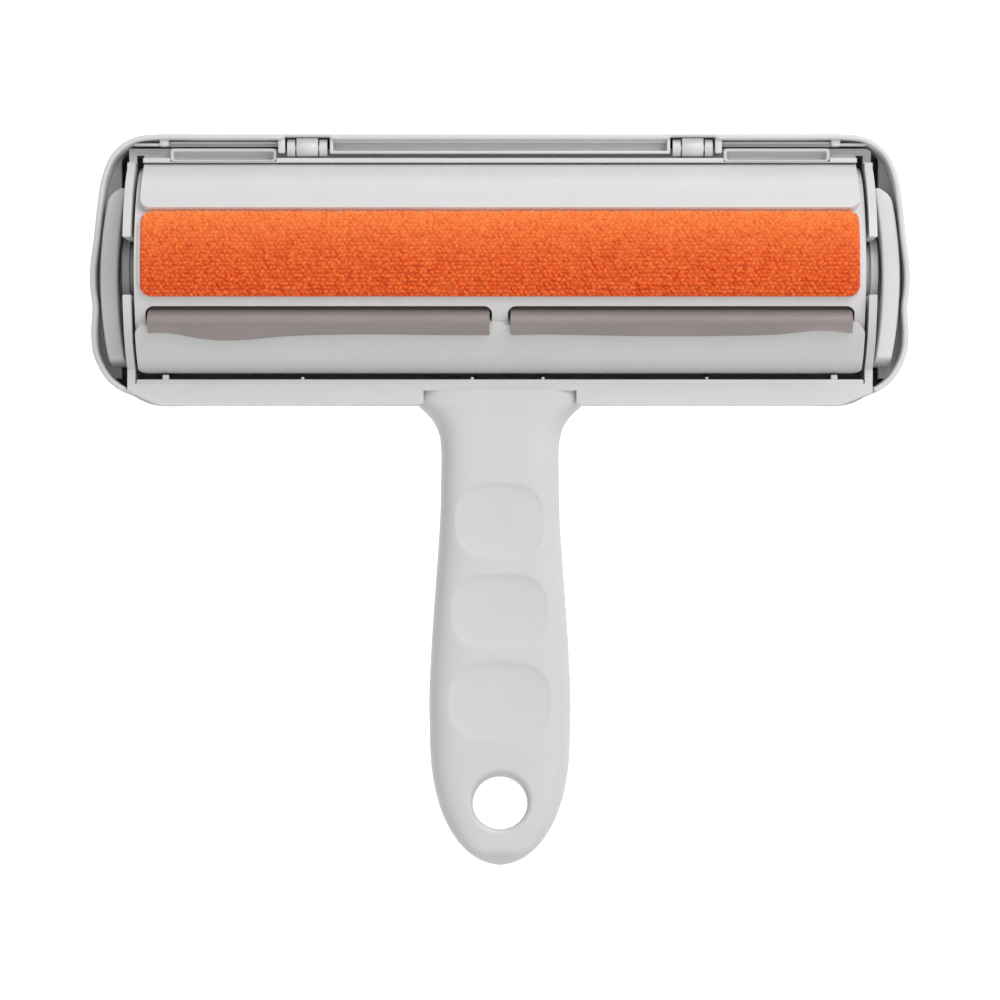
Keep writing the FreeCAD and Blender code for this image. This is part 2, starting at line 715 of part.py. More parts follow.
def make_handle():
    """Front and back shells of the handle with dimples, hanging hole, button pocket and screws."""
    front, parting, back = handle_curves()
    y0 = -S["head_half_height"]
    end = -S["handle_end"]
    neck = S["handle_neck_half"]
    grip = S["handle_grip_half"]
    half = [
        Vector(S["handle_flare_half"], y0, 0),
        Vector(neck + 1.5, y0 - 4, 0),
        Vector(neck, y0 - 11, 0),
        Vector(neck, y0 - 27, 0),
        Vector(neck + 1.0, y0 - 45, 0),
        Vector(grip, y0 - 66, 0),
        Vector(grip - 0.8, y0 - 82, 0),
        Vector(grip - 6.0, end + 6.2, 0),
        Vector(0, end, 0),
    ]
    mirrored = [Vector(-p.x, p.y, 0) for p in reversed(half[:-1])]
    side = Part.BSplineCurve()
    side.interpolate(half + mirrored)
    top = Part.LineSegment(mirrored[-1], half[0])
    outline = doc.addObject("Part::Feature", "handle_outline")
    outline.Shape = Part.Face(Part.Wire([side.toShape(), top.toShape()]))
    prism = doc.addObject("Part::Extrusion", "handle_prism")
    prism.Base = outline
    prism.DirMode = "Custom"
    prism.Dir = Vector(0, 0, 1)
    prism.LengthFwd = 60
    prism.Solid = True
    blank = common("handle_blank", prism, side_slab("handle_side", front, back))
    soft = rounded(
        "handle_soft",
        blank,
        S["handle_round"],
        lambda e: e.BoundBox.YMin < y0 - 1 and e.BoundBox.ZLength > 6 and e.BoundBox.YLength > 20,
    )
    hole = post("hang_hole", "hang_hole_radius", "0", "-hang_hole_y", "-1", "60")
    scoops = []
    for number in range(3):
        y = -(S["dimple_first"] + number * S["dimple_pitch"])
        z = arc_height(front, y)
        slope = math.degrees(math.atan((arc_height(front, y + 1) - arc_height(front, y - 1)) / 2))
        scoop = doc.addObject("Part::Ellipsoid", f"dimple_{number}")
        depth = S["dimple_depth"]
        tall = S["dimple_sphere"]
        spread = 1 / math.sqrt(1 - ((tall - depth) / tall) ** 2)
        scoop.Radius1 = tall
        scoop.Radius2 = (S["dimple_half_width"] + number * S["dimple_growth"]) * spread
        scoop.Radius3 = S["dimple_half_length"] * spread
        scoop.Angle1 = -90
        scoop.Angle2 = 90
        scoop.Angle3 = 360
        turn = Rotation(Vector(1, 0, 0), slope)
        lift = turn.multVec(Vector(0, 0, tall - depth))
        scoop.Placement = Placement(Vector(0, y, z) + lift, turn)
        scoops.append(scoop)
    above = [(y, z + 40) for y, z in front]
    below = [(y, z - 40) for y, z in back]
    front_half = common("front_half", soft, side_slab("above_parting", above, parting))
    back_half = common("back_half", soft, side_slab("below_parting", parting, below))
    tongue_depth = "rail_width - seat_margin + 0.2"
    tongue = box(
        "handle_tongue",
        "-handle_flare_half",
        "-head_half_height - 0.2",
        "rail_top - seat_depth",
        "2 * handle_flare_half",
        tongue_depth,
        "seat_depth + 0.3",
    )
    screws, pilots, recesses = make_screw_tools(parting, back)
    finish(
        cut("handle_front_shape", fuse("front_with_tongue", front_half, tongue), hole, *scoops, *pilots),
        "handle_front_shell",
    )
    pocket = box(
        "button_pocket",
        "-button_half_width - 0.3",
        "-button_y - button_half_length - 0.3",
        "0",
        "2 * button_half_width + 0.6",
        "2 * button_half_length + 0.6",
        "button_ceiling",
    )
    finish(
        cut("handle_back_shape", back_half, hole, pocket, *recesses), "handle_back_shell"
    )
    grouped = doc.addObject("Part::Compound", "handle_screws_shape")
    grouped.Links = screws
    finish(grouped, "handle_screws")


def make_screw_tools(parting, back):
    """Screws through the back shell, the pilot holes in the front one and the recesses."""
    screws = []
    pilots = []
    recesses = []
    for number, y in enumerate((-S["screw_near"], -S["screw_far"])):
        low = arc_height(back, y)
        head_low = low + S["screw_sunk"]
        seam = arc_height(parting, y)
        head = post(f"screw_head_{number}", "screw_head_radius", "0", str(y), str(head_low), "screw_head_height")
        shank_height = seam - head_low + S["screw_bite"]
        shank = post(f"screw_shank_{number}", "screw_radius", "0", str(y), str(head_low), str(shank_height))
        screws.append(fuse(f"screw_{number}", head, shank))
        pilots.append(post(f"pilot_{number}", "screw_radius", "0", str(y), str(seam - 5), str(5 + head_low + shank_height - seam)))
        wide = post(f"screw_recess_{number}", "screw_head_radius", "0", str(y), "-1", str(1 + head_low + S["screw_head_height"]))
        thin = post(f"screw_hole_{number}", "screw_radius", "0", str(y), "-1", "60")
        recesses += [wide, thin]
    return screws, pilots, recesses


def make_button():
    """Release button in the handle's back, with its coil spring."""
    back = handle_curves()[2]
    low = arc_height(back, -S["button_y"]) - S["button_proud"]
    block = box(
        "button_block",
        "-button_half_width",
        "-button_y - button_half_length",
        str(low),
        "2 * button_half_width",
        "2 * button_half_length",
        "button_depth",
    )
    up = Vector(0, 0, 1)
    button = rounded("button_shape", block, 1.5, lambda e: runs_along(e, up))
    finish(button, "release_button")
    bottom = low + S["button_depth"]
    height = S["button_ceiling"] - bottom
    wire = S["spring_wire"]
    turns = S["spring_turns"]
    rise = height - 2 * wire
    helix = Part.makeHelix(rise / turns, rise, S["spring_radius"])
    profile = Part.Wire(Part.makeCircle(wire, Vector(S["spring_radius"], 0, 0), Vector(0, 1, 0)))
    coil = Part.Wire(helix).makePipeShell([profile], True, True)
    spring = doc.addObject("Part::Feature", "spring_shape")
    spring.Shape = coil
    spring.Placement = Placement(Vector(0, -S["button_y"], bottom + wire), Rotation())
    finish(spring, "button_spring")


def make_catch_strip():
    """Plush strip on the rail that keeps hair in the bin."""
    finish(
        box(
            "catch_strip_shape",
            "-frame_half_width + plate_thickness",
            "-(roller_radius + bar_thickness + part_gap)",
            "rail_base",
            "2 * (frame_half_width - plate_thickness)",
            "strip_thickness",
            "strip_height",
        ),
        "catch_strip",
    )


def write_pieces():
    """Check every object and piece, then write one file for each piece."""
    doc.recompute()
    for obj in doc.Objects:
        if "Invalid" in obj.State or "Error" in obj.State:
            raise RuntimeError(f"{obj.Name} failed: {obj.State}")
    os.makedirs("parts", exist_ok=True)
    for obj in pieces:
        shape = obj.Shape
        if shape.isNull() or not shape.isValid() or not shape.Solids:
            raise RuntimeError(f"{obj.Label} has no valid shape")
        shape.exportStep(os.path.join("parts", f"{obj.Label}.step"))
        low = shape.BoundBox
        print(
            f"{obj.Label}: {len(shape.Solids)} solids, {shape.Volume / 1000:.2f} cm3,"
            f" x {low.XMin:.1f}..{low.XMax:.1f} y {low.YMin:.1f}..{low.YMax:.1f} z {low.ZMin:.1f}..{low.ZMax:.1f}"
        )


make_roller_body()
make_roller_bars()
make_fabric()
make_wipers()
make_shaft_and_bearings()
make_roller_frame()
make_cover()
make_hinge_pins()
make_handle()
make_button()
make_catch_strip()
write_pieces()
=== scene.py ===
"""Visual model of a pet hair removal brush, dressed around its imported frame.

Lengths are metres. X runs along the roller, the handle points to -Y and the working side faces +Z.
"""

import json
import logging
import math
from dataclasses import dataclass, field
from enum import Enum

import bmesh
import bpy
import numpy as np
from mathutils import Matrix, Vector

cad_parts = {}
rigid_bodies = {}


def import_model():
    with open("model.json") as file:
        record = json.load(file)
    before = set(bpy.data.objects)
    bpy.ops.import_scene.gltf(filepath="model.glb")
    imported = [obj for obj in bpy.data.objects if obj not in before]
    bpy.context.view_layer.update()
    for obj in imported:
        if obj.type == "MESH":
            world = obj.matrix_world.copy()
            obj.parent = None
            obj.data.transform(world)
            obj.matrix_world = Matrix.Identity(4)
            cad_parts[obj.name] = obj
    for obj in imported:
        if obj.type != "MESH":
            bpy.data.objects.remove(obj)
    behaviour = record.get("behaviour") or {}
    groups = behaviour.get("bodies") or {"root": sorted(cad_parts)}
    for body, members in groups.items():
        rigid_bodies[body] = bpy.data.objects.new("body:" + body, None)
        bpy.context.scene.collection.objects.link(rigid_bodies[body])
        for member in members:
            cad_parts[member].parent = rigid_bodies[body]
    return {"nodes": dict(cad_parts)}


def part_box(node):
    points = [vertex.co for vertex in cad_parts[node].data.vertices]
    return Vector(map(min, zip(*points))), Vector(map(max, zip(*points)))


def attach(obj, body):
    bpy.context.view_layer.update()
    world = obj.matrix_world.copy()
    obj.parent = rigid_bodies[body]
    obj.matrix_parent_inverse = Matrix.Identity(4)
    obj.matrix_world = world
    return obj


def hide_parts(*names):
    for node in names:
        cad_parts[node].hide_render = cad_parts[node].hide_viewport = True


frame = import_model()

Piece = bpy.types.Object
Finish = bpy.types.Material
Socket = bpy.types.NodeSocket

LOG = logging.getLogger("brush")
MM = 0.001


class Gather(Enum):
    """How a value node joins two numbers."""

    ADD = "ADD"
    SUBTRACT = "SUBTRACT"
    MULTIPLY = "MULTIPLY"
    MAXIMUM = "MAXIMUM"
    POWER = "POWER"


class Side(Enum):
    """The two ends of the brush, by the sign of X."""

    LEFT = -1
    RIGHT = 1

    @property
    def word(self) -> str:
        """Its name as pieces carry it."""
        return self.name.lower()


@dataclass(frozen=True)
class Value:
    """A number socket of a material, with arithmetic that adds Math nodes."""

    paint: "Paint"
    socket: Socket

    def _join(self, how: Gather, first: "Value | float", second: "Value | float") -> "Value":
        """Add one Math node.

        Args:
            how: The node's operation.
            first: The left operand.
            second: The right operand.

        Returns:
            The node's result.
        """
        return self.paint.node("ShaderNodeMath", {"operation": how.value}, {0: first, 1: second})

    def __add__(self, other: "Value | float") -> "Value":
        """Sum."""
        return self._join(Gather.ADD, self, other)

    __radd__ = __add__

    def __sub__(self, other: "Value | float") -> "Value":
        """Difference."""
        return self._join(Gather.SUBTRACT, self, other)

    def __rsub__(self, other: float) -> "Value":
        """Difference from a number."""
        return self._join(Gather.SUBTRACT, other, self)

    def __mul__(self, other: "Value | float") -> "Value":
        """Product."""
        return self._join(Gather.MULTIPLY, self, other)

    __rmul__ = __mul__

    def __pow__(self, other: float) -> "Value":
        """Power."""
        return self._join(Gather.POWER, self, other)

    def at_least(self, other: "Value | float") -> "Value":
        """The larger of this and another number."""
        return self._join(Gather.MAXIMUM, self, other)


class Paint:
    """A material under construction: one Principled shader and the nodes that feed it."""

    def __init__(self, name: str) -> None:
        """Start a material.

        Args:
            name: The material's name.
        """
        self.material = bpy.data.materials.new(name)
        self.material.use_nodes = True
        self.tree = self.material.node_tree
        self.shader = self.tree.nodes["Principled BSDF"]

    def node(self, kind: str, settings: dict, inputs: dict, output: int | str = 0) -> Value:
        """Add a node, set it up and feed it.

        Args:
            kind: The node's type.
            settings: Its properties, set first.
            inputs: Values or links by socket name or number.
            output: Which of its outputs is returned.

        Returns:
            That output.
        """
        made = self.tree.nodes.new(kind)
        for key, value in settings.items():
            setattr(made, key, value)
        for key, value in inputs.items():
            self.feed(made.inputs[key], value)
        return Value(self, made.outputs[output])

    def feed(self, socket: Socket, value: "Value | float | tuple") -> None:
        """Link a value into a socket, or set it there.

        Args:
            socket: The socket to feed.
            value: What goes in.
        """
        if isinstance(value, Value):
            self.tree.links.new(value.socket, socket)
        else:
            socket.default_value = value

    def place(self) -> Value:
        """The point on the piece, in metres."""
        return self.node("ShaderNodeTexCoord", {}, {}, "Object")

    def attribute(self, name: str) -> Value:
        """A number stored on the mesh.

        Args:
            name: The attribute's name.

        Returns:
            Its value over the surface.
        """
        return self.node("ShaderNodeAttribute", {"attribute_name": name}, {}, "Fac")

    def noise(self, cell: float, detail: float = 2.0, stretch: tuple = (1.0, 1.0, 1.0)) -> Value:
        """Smooth noise around one half.

        Args:
            cell: The size of its blotches in metres.
            detail: How many finer layers it has.
            stretch: Scale of the pattern along each axis.

        Returns:
            The noise.
        """
        place = self.node("ShaderNodeMapping", {}, {"Vector": self.place(), "Scale": stretch})
        return self.node(
            "ShaderNodeTexNoise", {}, {"Vector": place, "Scale": 1 / cell, "Detail": detail}, "Fac"
        )

    def mixed(self, share: Value, first: Value | tuple, second: tuple) -> Value:
        """Blend two colours.

        Args:
            share: How much of the second colour shows.
            first: Colour at zero.
            second: Colour at one.

        Returns:
            The blended colour.
        """
        start = first if isinstance(first, Value) else (*first, 1.0)
        return self.node("ShaderNodeMix", {"data_type": "RGBA"}, {0: share, 6: start, 7: (*second, 1.0)}, 2)

    def bump(self, height: Value, depth: float) -> Value:
        """Relief from a height of zero to one.

        Args:
            height: The height.
            depth: How deep the relief is, in metres.

        Returns:
            The bent normal.
        """
        return self.node("ShaderNodeBump", {}, {"Height": height, "Distance": depth, "Strength": 1.0})

    def dress(self, **inputs: "Value | float | tuple") -> Finish:
        """Feed the shader.

        Args:
            inputs: Values by the shader's socket names, with _ for a space.

        Returns:
            The finished material.
        """
        for key, value in inputs.items():
            self.feed(self.shader.inputs[key.replace("_", " ")], value)
        return self.material


@dataclass(frozen=True)
class MouldedPlastic:
    """Satin injection-moulded plastic with a fine spark-eroded grain."""

    name: str
    colour: tuple
    roughness: float = 0.38
    grain: float = 0.45 * MM
    grain_depth: float = 0.006 * MM
    mottle_cell: float = 9 * MM
    light_share: float = 1.025
    dark_share: float = 0.965
    gloss_cell: float = 2.5 * MM
    gloss_spread: float = 0.14

    def material(self) -> Finish:
        """Faint mottling of the colour, uneven gloss and a fine grain in relief."""
        paint = Paint(self.name)
        mottle = paint.noise(self.mottle_cell, 4.0)
        light = tuple(min(1.0, part * self.light_share) for part in self.colour)
        dark = tuple(part * self.dark_share for part in self.colour)
        low = self.roughness - self.gloss_spread / 2
        gloss = paint.noise(self.gloss_cell, 3.0) * self.gloss_spread + low
        relief = paint.bump(paint.noise(self.grain, 2.0), self.grain_depth)
        return paint.dress(Base_Color=paint.mixed(mottle, dark, light), Roughness=gloss, Normal=relief)


@dataclass(frozen=True)
class BristleFabric:
    """Bright bristle cloth: pale tips, roots darkened with painted shade, and tufts that differ a little."""

    name: str = "bristle_fabric"
    # Painted shade: the colour deep in the pile, darker than the tips.
    root: tuple = (0.55, 0.035, 0.002)
    tip: tuple = (1.0, 0.16, 0.013)
    # Paler tufts at random, and the painted highlight on the rows near the far edge.
    pale_and_highlight: tuple = (1.0, 0.30, 0.07)
    tuft_share: float = 0.25
    far_highlight_share: float = 0.6
    # Strength of a painted glow in the cloth's own colour.
    glow: float = 0.13

    def material(self) -> Finish:
        """Colour from the height of the pile with painted shade at the roots, paler on some tufts, and a
        painted highlight towards the far edge.
        """
        paint = Paint(self.name)
        height = paint.attribute("pile")
        # Painted shade: darker from tip to root, as if the tufts shaded the pile.
        shade = paint.mixed(height ** 1.2, self.root, self.tip)
        # Random paler tufts, plus a painted highlight that grows towards the far edge.
        pale = paint.attribute("tuft") * self.tuft_share + (paint.attribute("rise") ** 2.5) * self.far_highlight_share
        colour = paint.mixed(pale, shade, self.pale_and_highlight)
        relief = paint.bump(paint.noise(0.3 * MM, 3.0, (0.8, 1.6, 1.6)), 0.12 * MM)
        # The emission paints a faint glow, as if light came through the bristles.
        paint.dress(Sheen_Weight=0.3, Sheen_Roughness=0.5, Specular_IOR_Level=0.2, Emission_Strength=self.glow)
        return paint.dress(Base_Color=colour, Emission_Color=colour, Roughness=0.8, Normal=relief)


@dataclass(frozen=True)
class PlainWeave:
    """A thin woven cloth, with threads a fraction of a millimetre apart."""

    name: str
    colour: tuple
    thread: float = 0.35 * MM

    def material(self) -> Finish:
        """Crossing waves give the threads their relief, and painted shade darkens them where they lie low."""
        paint = Paint(self.name)
        threads = []
        for direction in ("X", "Y"):
            settings = {"wave_type": "BANDS", "bands_direction": direction}
            inputs = {"Vector": paint.place(), "Scale": 1 / (20 * self.thread), "Distortion": 0.6}
            threads.append(paint.node("ShaderNodeTexWave", settings, inputs, "Fac"))
        height = threads[0].at_least(threads[1])
        # Painted shade where the threads lie low.
        dark = tuple(part * 0.8 for part in self.colour)
        relief = paint.bump(height, 0.05 * MM)
        return paint.dress(Base_Color=paint.mixed(height, dark, self.colour), Roughness=0.85, Normal=relief)


@dataclass(frozen=True)
class SoftRubber:
    """Soft, slightly cloudy rubber sheet."""

    name: str = "wiper_rubber"
    colour: tuple = (0.27, 0.235, 0.225)
    pale: tuple = (0.34, 0.30, 0.285)

    def material(self) -> Finish:
        """Long streaks from moulding, and a low even gloss."""
        paint = Paint(self.name)
        streak = paint.noise(5 * MM, 3.0, (0.25, 1.0, 1.0))
        gloss = paint.noise(1.5 * MM, 2.0) * 0.15 + 0.4
        relief = paint.bump(paint.noise(0.5 * MM, 2.0), 0.01 * MM)
        paint.dress(Subsurface_Weight=0.15, Subsurface_Radius=(0.8 * MM, 0.6 * MM, 0.5 * MM))
        return paint.dress(
            Base_Color=paint.mixed(streak, self.colour, self.pale), Roughness=gloss, Normal=relief
        )


@dataclass(frozen=True)
class DrawnSteel:
    """Drawn steel with fine lines along X."""

    name: str = "steel"
    colour: tuple = (0.60, 0.60, 0.62)

    def material(self) -> Finish:
        """Fine lines in gloss and relief."""
        paint = Paint(self.name)
        lines = paint.noise(0.2 * MM, 3.0, (0.05, 1.0, 1.0))
        return paint.dress(
            Base_Color=paint.mixed(lines, tuple(0.85 * part for part in self.colour), self.colour),
            Roughness=lines * 0.2 + 0.22,
            Metallic=1.0,
            Normal=paint.bump(lines, 0.004 * MM),
        )


@dataclass(frozen=True)
class Plush:
    """Short dark plush."""

    name: str = "strip_plush"
    # Painted shade: the colour deep in the plush, darker than the tips.
    root: tuple = (0.05, 0.004, 0.012)
    tip: tuple = (0.23, 0.03, 0.06)

    def material(self) -> Finish:
        """Colour from the height of the pile, with painted shade deep in it."""
        paint = Paint(self.name)
        shade = paint.mixed(paint.attribute("pile"), self.root, self.tip)
        relief = paint.bump(paint.noise(0.15 * MM, 2.0), 0.06 * MM)
        return paint.dress(Base_Color=shade, Roughness=0.9, Sheen_Weight=0.4, Normal=relief)


@dataclass(frozen=True)
class RollerSpace:
    """Places about the roller's axis, which runs along X."""

    axis_height: float

    def at(self, along: np.ndarray, angle: np.ndarray, radius: np.ndarray) -> np.ndarray:
        """Turn roller coordinates into points.

        The angle runs from straight up towards +Y, so y is the radius times its sine, and z is the
        axis height plus the radius times its cosine.

        Args:
            along: X of each point.
            angle: Angle of each point in radians.
            radius: Distance of each point from the axis.

        Returns:
            The points, with x, y and z in the last axis.
        """
        along, angle, radius = np.broadcast_arrays(along, angle, radius)
        return np.stack([along, radius * np.sin(angle), self.axis_height + radius * np.cos(angle)], axis=-1)


def carried_solid(name: str, rings: np.ndarray, sharp: float = 40.0) -> Piece:
    """Join a row of closed rings into one closed solid.

    Each cell between two neighbouring points of two neighbouring rings is a face, and the first and
    the last ring are closed with a face of their own.

    Args:
        name: The piece's name.
        rings: Points as (ring, point, xyz).
        sharp: Angle in degrees past which an edge stays sharp.

    Returns:
        The piece.
    """
    count, size, _ = rings.shape
    ring = np.arange(count - 1)[:, None] * size
    here = np.arange(size)[None, :]
    after = (here + 1) % size
    cells = np.stack([ring + here, ring + after, ring + size + after, ring + size + here], axis=-1)
    last = (count - 1) * size + np.arange(size)
    faces = [*cells.reshape(-1, 4).tolist(), np.arange(size)[::-1].tolist(), last.tolist()]
    mesh = bpy.data.meshes.new(name)
    mesh.from_pydata(rings.reshape(-1, 3).tolist(), [], faces)
    shaped = bmesh.new()
    shaped.from_mesh(mesh)
    bmesh.ops.recalc_face_normals(shaped, faces=shaped.faces)
    shaped.to_mesh(mesh)
    shaped.free()
    mesh.polygons.foreach_set("use_smooth", np.ones(len(mesh.polygons), bool))
    mesh.set_sharp_from_angle(angle=math.radians(sharp))
    piece = bpy.data.objects.new(name, mesh)
    bpy.context.scene.collection.objects.link(piece)
    return piece


def store(piece: Piece, name: str, values: np.ndarray) -> None:
    """Keep one number for each point of a piece.

    Args:
        piece: The piece.
        name: The attribute's name.
        values: The numbers, in the order of the points.
    """
    layer = piece.data.attributes.new(name, "FLOAT", "POINT")
    layer.data.foreach_set("value", values.astype(np.float32).ravel())


def corner_drop(along: np.ndarray, half_length: float, corner: float) -> np.ndarray:
    """How far a rounded corner cuts in at each X: its radius less the height of its circle there.

    Args:
        along: X of each column.
        half_length: Half the length of the rounded strip.
        corner: Radius of its corners.

    Returns:
        The cut, zero away from the ends.
    """
    inside = np.clip(half_length - np.abs(along), 0, corner)
    return corner - np.sqrt(np.maximum(corner**2 - (corner - inside) ** 2, 0))


@dataclass
class PileCloth:
    """The strip of bristle cloth on the roller, with its tufts in staggered rows."""

    space: RollerSpace
    half_length: float
    low_angle: float
    high_angle: float
    base: float
    top: float
    corner: float = 2.6 * MM
    tuft_pitch: float = 1.16 * MM
    row_pitch: float = 0.94 * MM
    columns: int = 760
    rows: int = 100
    seed: int = 7

    def half_span(self, along: np.ndarray) -> np.ndarray:
        """Share of the full width at each X, which shrinks along a circle in the corners.

        Args:
            along: X of each column.

        Returns:
            The share, from under one to one.
        """
        half = (self.high_angle - self.low_angle) / 2 * self.base
        return 1 - corner_drop(along, self.half_length, self.corner) / half

    def tufts(self, along: np.ndarray, across: np.ndarray) -> tuple[np.ndarray, np.ndarray]:
        """Height and shade of the tufts.

        Each tuft is a smooth bump on a staggered lattice, and the tallest of the nearest bumps counts.

        Args:
            along: X of each point.
            across: Distance round the roller of each point.

        Returns:
            Height from zero to one, and a random shade for each tuft.
        """
        random = np.random.default_rng(self.seed)
        table = random.random((64, 64, 4))
        row = np.floor(across / self.row_pitch)
        height = np.zeros_like(along)
        shade = np.zeros_like(along)
        for row_step in (-1, 0, 1):
            line = row + row_step
            shift = 0.5 * (line % 2)
            column = np.floor(along / self.tuft_pitch - shift)
            for step in (-1, 0, 1):
                place = column + step
                traits = table[place.astype(int) % 64, line.astype(int) % 64]
                centre_x = (place + shift + 0.5 + 0.42 * (traits[..., 0] - 0.5)) * self.tuft_pitch
                centre_y = (line + 0.5 + 0.42 * (traits[..., 1] - 0.5)) * self.row_pitch
                lean = np.where(line % 2 == 0, 0.55, -0.55) + 1.1 * (traits[..., 3] - 0.5)
                right, up = along - centre_x, across - centre_y
                length = (right * np.cos(lean) + up * np.sin(lean)) / (0.62 * self.tuft_pitch)
                width = (up * np.cos(lean) - right * np.sin(lean)) / (0.46 * self.row_pitch)
                bump = np.exp(-1.3 * (length**2 + width**2)) * (0.55 + 0.45 * traits[..., 2])
                shade = np.where(bump > height, traits[..., 3], shade)
                height = np.maximum(height, bump)
        return height, shade

    def build(self) -> Piece:
        """Carry the tufted section along the roller and store height and shade on it."""
        along = np.linspace(-self.half_length, self.half_length, self.columns)
        middle = (self.high_angle + self.low_angle) / 2
        half = (self.high_angle - self.low_angle) / 2
        share = np.linspace(-1, 1, self.rows)
        x = along[:, None] + 0 * share[None, :]
        angle = middle + half * share[None, :] * self.half_span(along)[:, None]
        height, shade = self.tufts(x, angle * self.top)
        random = np.random.default_rng(self.seed + 1)
        fray = random.random(x.shape)
        margin = (1 - np.abs(share[None, :])) * half * self.base * self.half_span(along)[:, None]
        ends = self.half_length - np.abs(x)
        rim = np.clip(np.minimum(margin, ends) / (0.55 * MM), 0, 1) ** 0.5
        pile = (0.2 + 0.62 * height + 0.18 * fray) * rim
        radius = self.base + (self.top - self.base) * pile
        upper = self.space.at(x, angle, radius)
        under = np.linspace(1, -1, 8)[None, :]
        floor_angle = middle + half * under * self.half_span(along)[:, None]
        lower = self.space.at(along[:, None], floor_angle, np.array(self.base - 0.02 * MM))
        piece = carried_solid("bristle_pile", np.concatenate([upper, lower], axis=1), 80.0)
        flat = np.zeros(lower.shape[:2])
        # The pile height drives the painted shade at the roots in the cloth's material.
        store(piece, "pile", np.concatenate([height * rim + 0.25 * (fray - 0.5), flat], axis=1).clip(0, 1))
        store(piece, "tuft", np.concatenate([shade, flat], axis=1))
        # rise runs from the near edge to the far edge; the cloth's material paints a highlight along it.
        rise = np.broadcast_to((share[None, :] + 1) / 2, x.shape)
        store(piece, "rise", np.concatenate([rise, flat], axis=1))
        return piece


@dataclass
class BackingCloth:
    """The thin cloth under the bristles, whose edge shows all round them."""

    space: RollerSpace
    half_length: float
    low_angle: float
    high_angle: float
    inner: float
    outer: float
    corner: float = 3.1 * MM
    columns: int = 260

    def build(self) -> Piece:
        """Carry the thin curved section along the roller, with a faintly uneven cut edge."""
        along = np.linspace(-self.half_length, self.half_length, self.columns)
        middle = (self.high_angle + self.low_angle) / 2
        half = (self.high_angle - self.low_angle) / 2
        drop = corner_drop(along, self.half_length, self.corner)
        uneven = 0.06 * MM * (np.sin(along / (2.3 * MM)) + np.sin(along / (0.9 * MM) + 1.0))
        span = half - (drop + np.abs(uneven)) / self.outer
        share = np.linspace(-1, 1, 24)
        over = self.space.at(along[:, None], middle + span[:, None] * share, np.array(self.outer))
        under = self.space.at(along[:, None], middle + span[:, None] * share[::-1], np.array(self.inner))
        return carried_solid("backing_cloth", np.concatenate([over, under], axis=1))


@dataclass
class Wiper:
    """A folded rubber wiper: its foot is clamped in the roller and its flap lies on the bar."""

    space: RollerSpace
    side: Side
    start: float
    end: float
    fold_angle: float
    free_angle: float
    root: float
    top: float
    thickness: float = 0.8 * MM
    bend: float = 1.1 * MM
    lift: float = 0.35
    columns: int = 160
    # Place along X, width and rise of the free edge's bumps, in millimetres.
    left_waves: tuple = ((-62, 11, 1.25), (-30, 13, -0.25), (-77, 6, -0.9))
    right_waves: tuple = ((73, 8, -1.3), (40, 18, 0.25), (12, 9, -0.2))

    def edge_wave(self, along: np.ndarray) -> np.ndarray:
        """How far the free edge wanders round the roller at each X, in radians.

        A few broad waves, each a smooth bump about its own place.

        Args:
            along: X of each column.

        Returns:
            The wander, positive where the flap is longer.
        """
        waves = self.left_waves if self.side is Side.LEFT else self.right_waves
        place, width, rise = np.array(waves).T[:, :, None] * MM
        return (rise * np.exp(-(((along - place) / width) ** 2))).sum(axis=0) / self.top

    def build(self) -> Piece:
        """Carry the bent section along X, then give it its thickness on both sides of the bend."""
        along = np.linspace(self.start, self.end, self.columns)
        wave = self.edge_wave(along)
        reach = self.free_angle - wave
        centre = self.top - self.thickness / 2
        foot = np.linspace(self.root, centre - self.bend, 6)
        turn = np.linspace(0, 1, 9)[1:]
        flap = np.linspace(0, 1, 12)[1:]
        bend_angle = self.bend / centre
        radii = [np.broadcast_to(foot, (self.columns, 6))]
        angles = [np.full((self.columns, 6), self.fold_angle)]
        swing = turn * math.pi / 2
        radii.append(np.broadcast_to(centre - self.bend + self.bend * np.sin(swing), (self.columns, 8)))
        angles.append(np.broadcast_to(self.fold_angle - bend_angle * (1 - np.cos(swing)), (self.columns, 8)))
        start = self.fold_angle - bend_angle
        angles.append(start + (reach[:, None] - start) * flap[None, :])
        lift = self.lift * np.abs(wave[:, None]) * self.top * flap[None, :] ** 2
        radii.append(centre + lift)
        line = self.space.at(along[:, None], np.concatenate(angles, 1), np.concatenate(radii, 1))
        step = np.gradient(line[..., 1:], axis=1)
        step /= np.linalg.norm(step, axis=-1, keepdims=True)
        normal = np.stack([np.zeros(step.shape[:2]), -step[..., 1], step[..., 0]], axis=-1)
        above = line + normal * self.thickness / 2
        below = line - normal * self.thickness / 2
        rings = np.concatenate([above, below[:, ::-1]], axis=1)
        return carried_solid(f"{self.side.word}_wiper_blade", rings)


@dataclass
class CatchPlush:
    """The plush strip in the bin, behind the handle's rail."""

    low: tuple
    high: tuple
    columns: int = 420
    points: int = 14
    depth: float = 0.45 * MM
    seed: int = 11

    def build(self) -> Piece:
        """Carry a box section along X, whose near face is frayed by a random depth at each point."""
        random = np.random.default_rng(self.seed)
        along = np.linspace(self.low[0], self.high[0], self.columns)[:, None]
        rise = np.linspace(self.low[2], self.high[2], self.points)
        fray = random.random((self.columns, self.points))
        face_y = self.high[1] - self.depth * (1 - fray)
        face = np.stack(np.broadcast_arrays(along, face_y, rise), axis=-1)
        back = np.stack(np.broadcast_arrays(along, self.low[1], (self.high[2], self.low[2])), axis=-1)
        piece = carried_solid("catch_plush", np.concatenate([face, back], axis=1), 80.0)
        # The pile value is lower where the face lies deeper; the plush's material paints shade there.
        store(piece, "pile", np.concatenate([fray, np.zeros((self.columns, 2))], axis=1))
        return piece


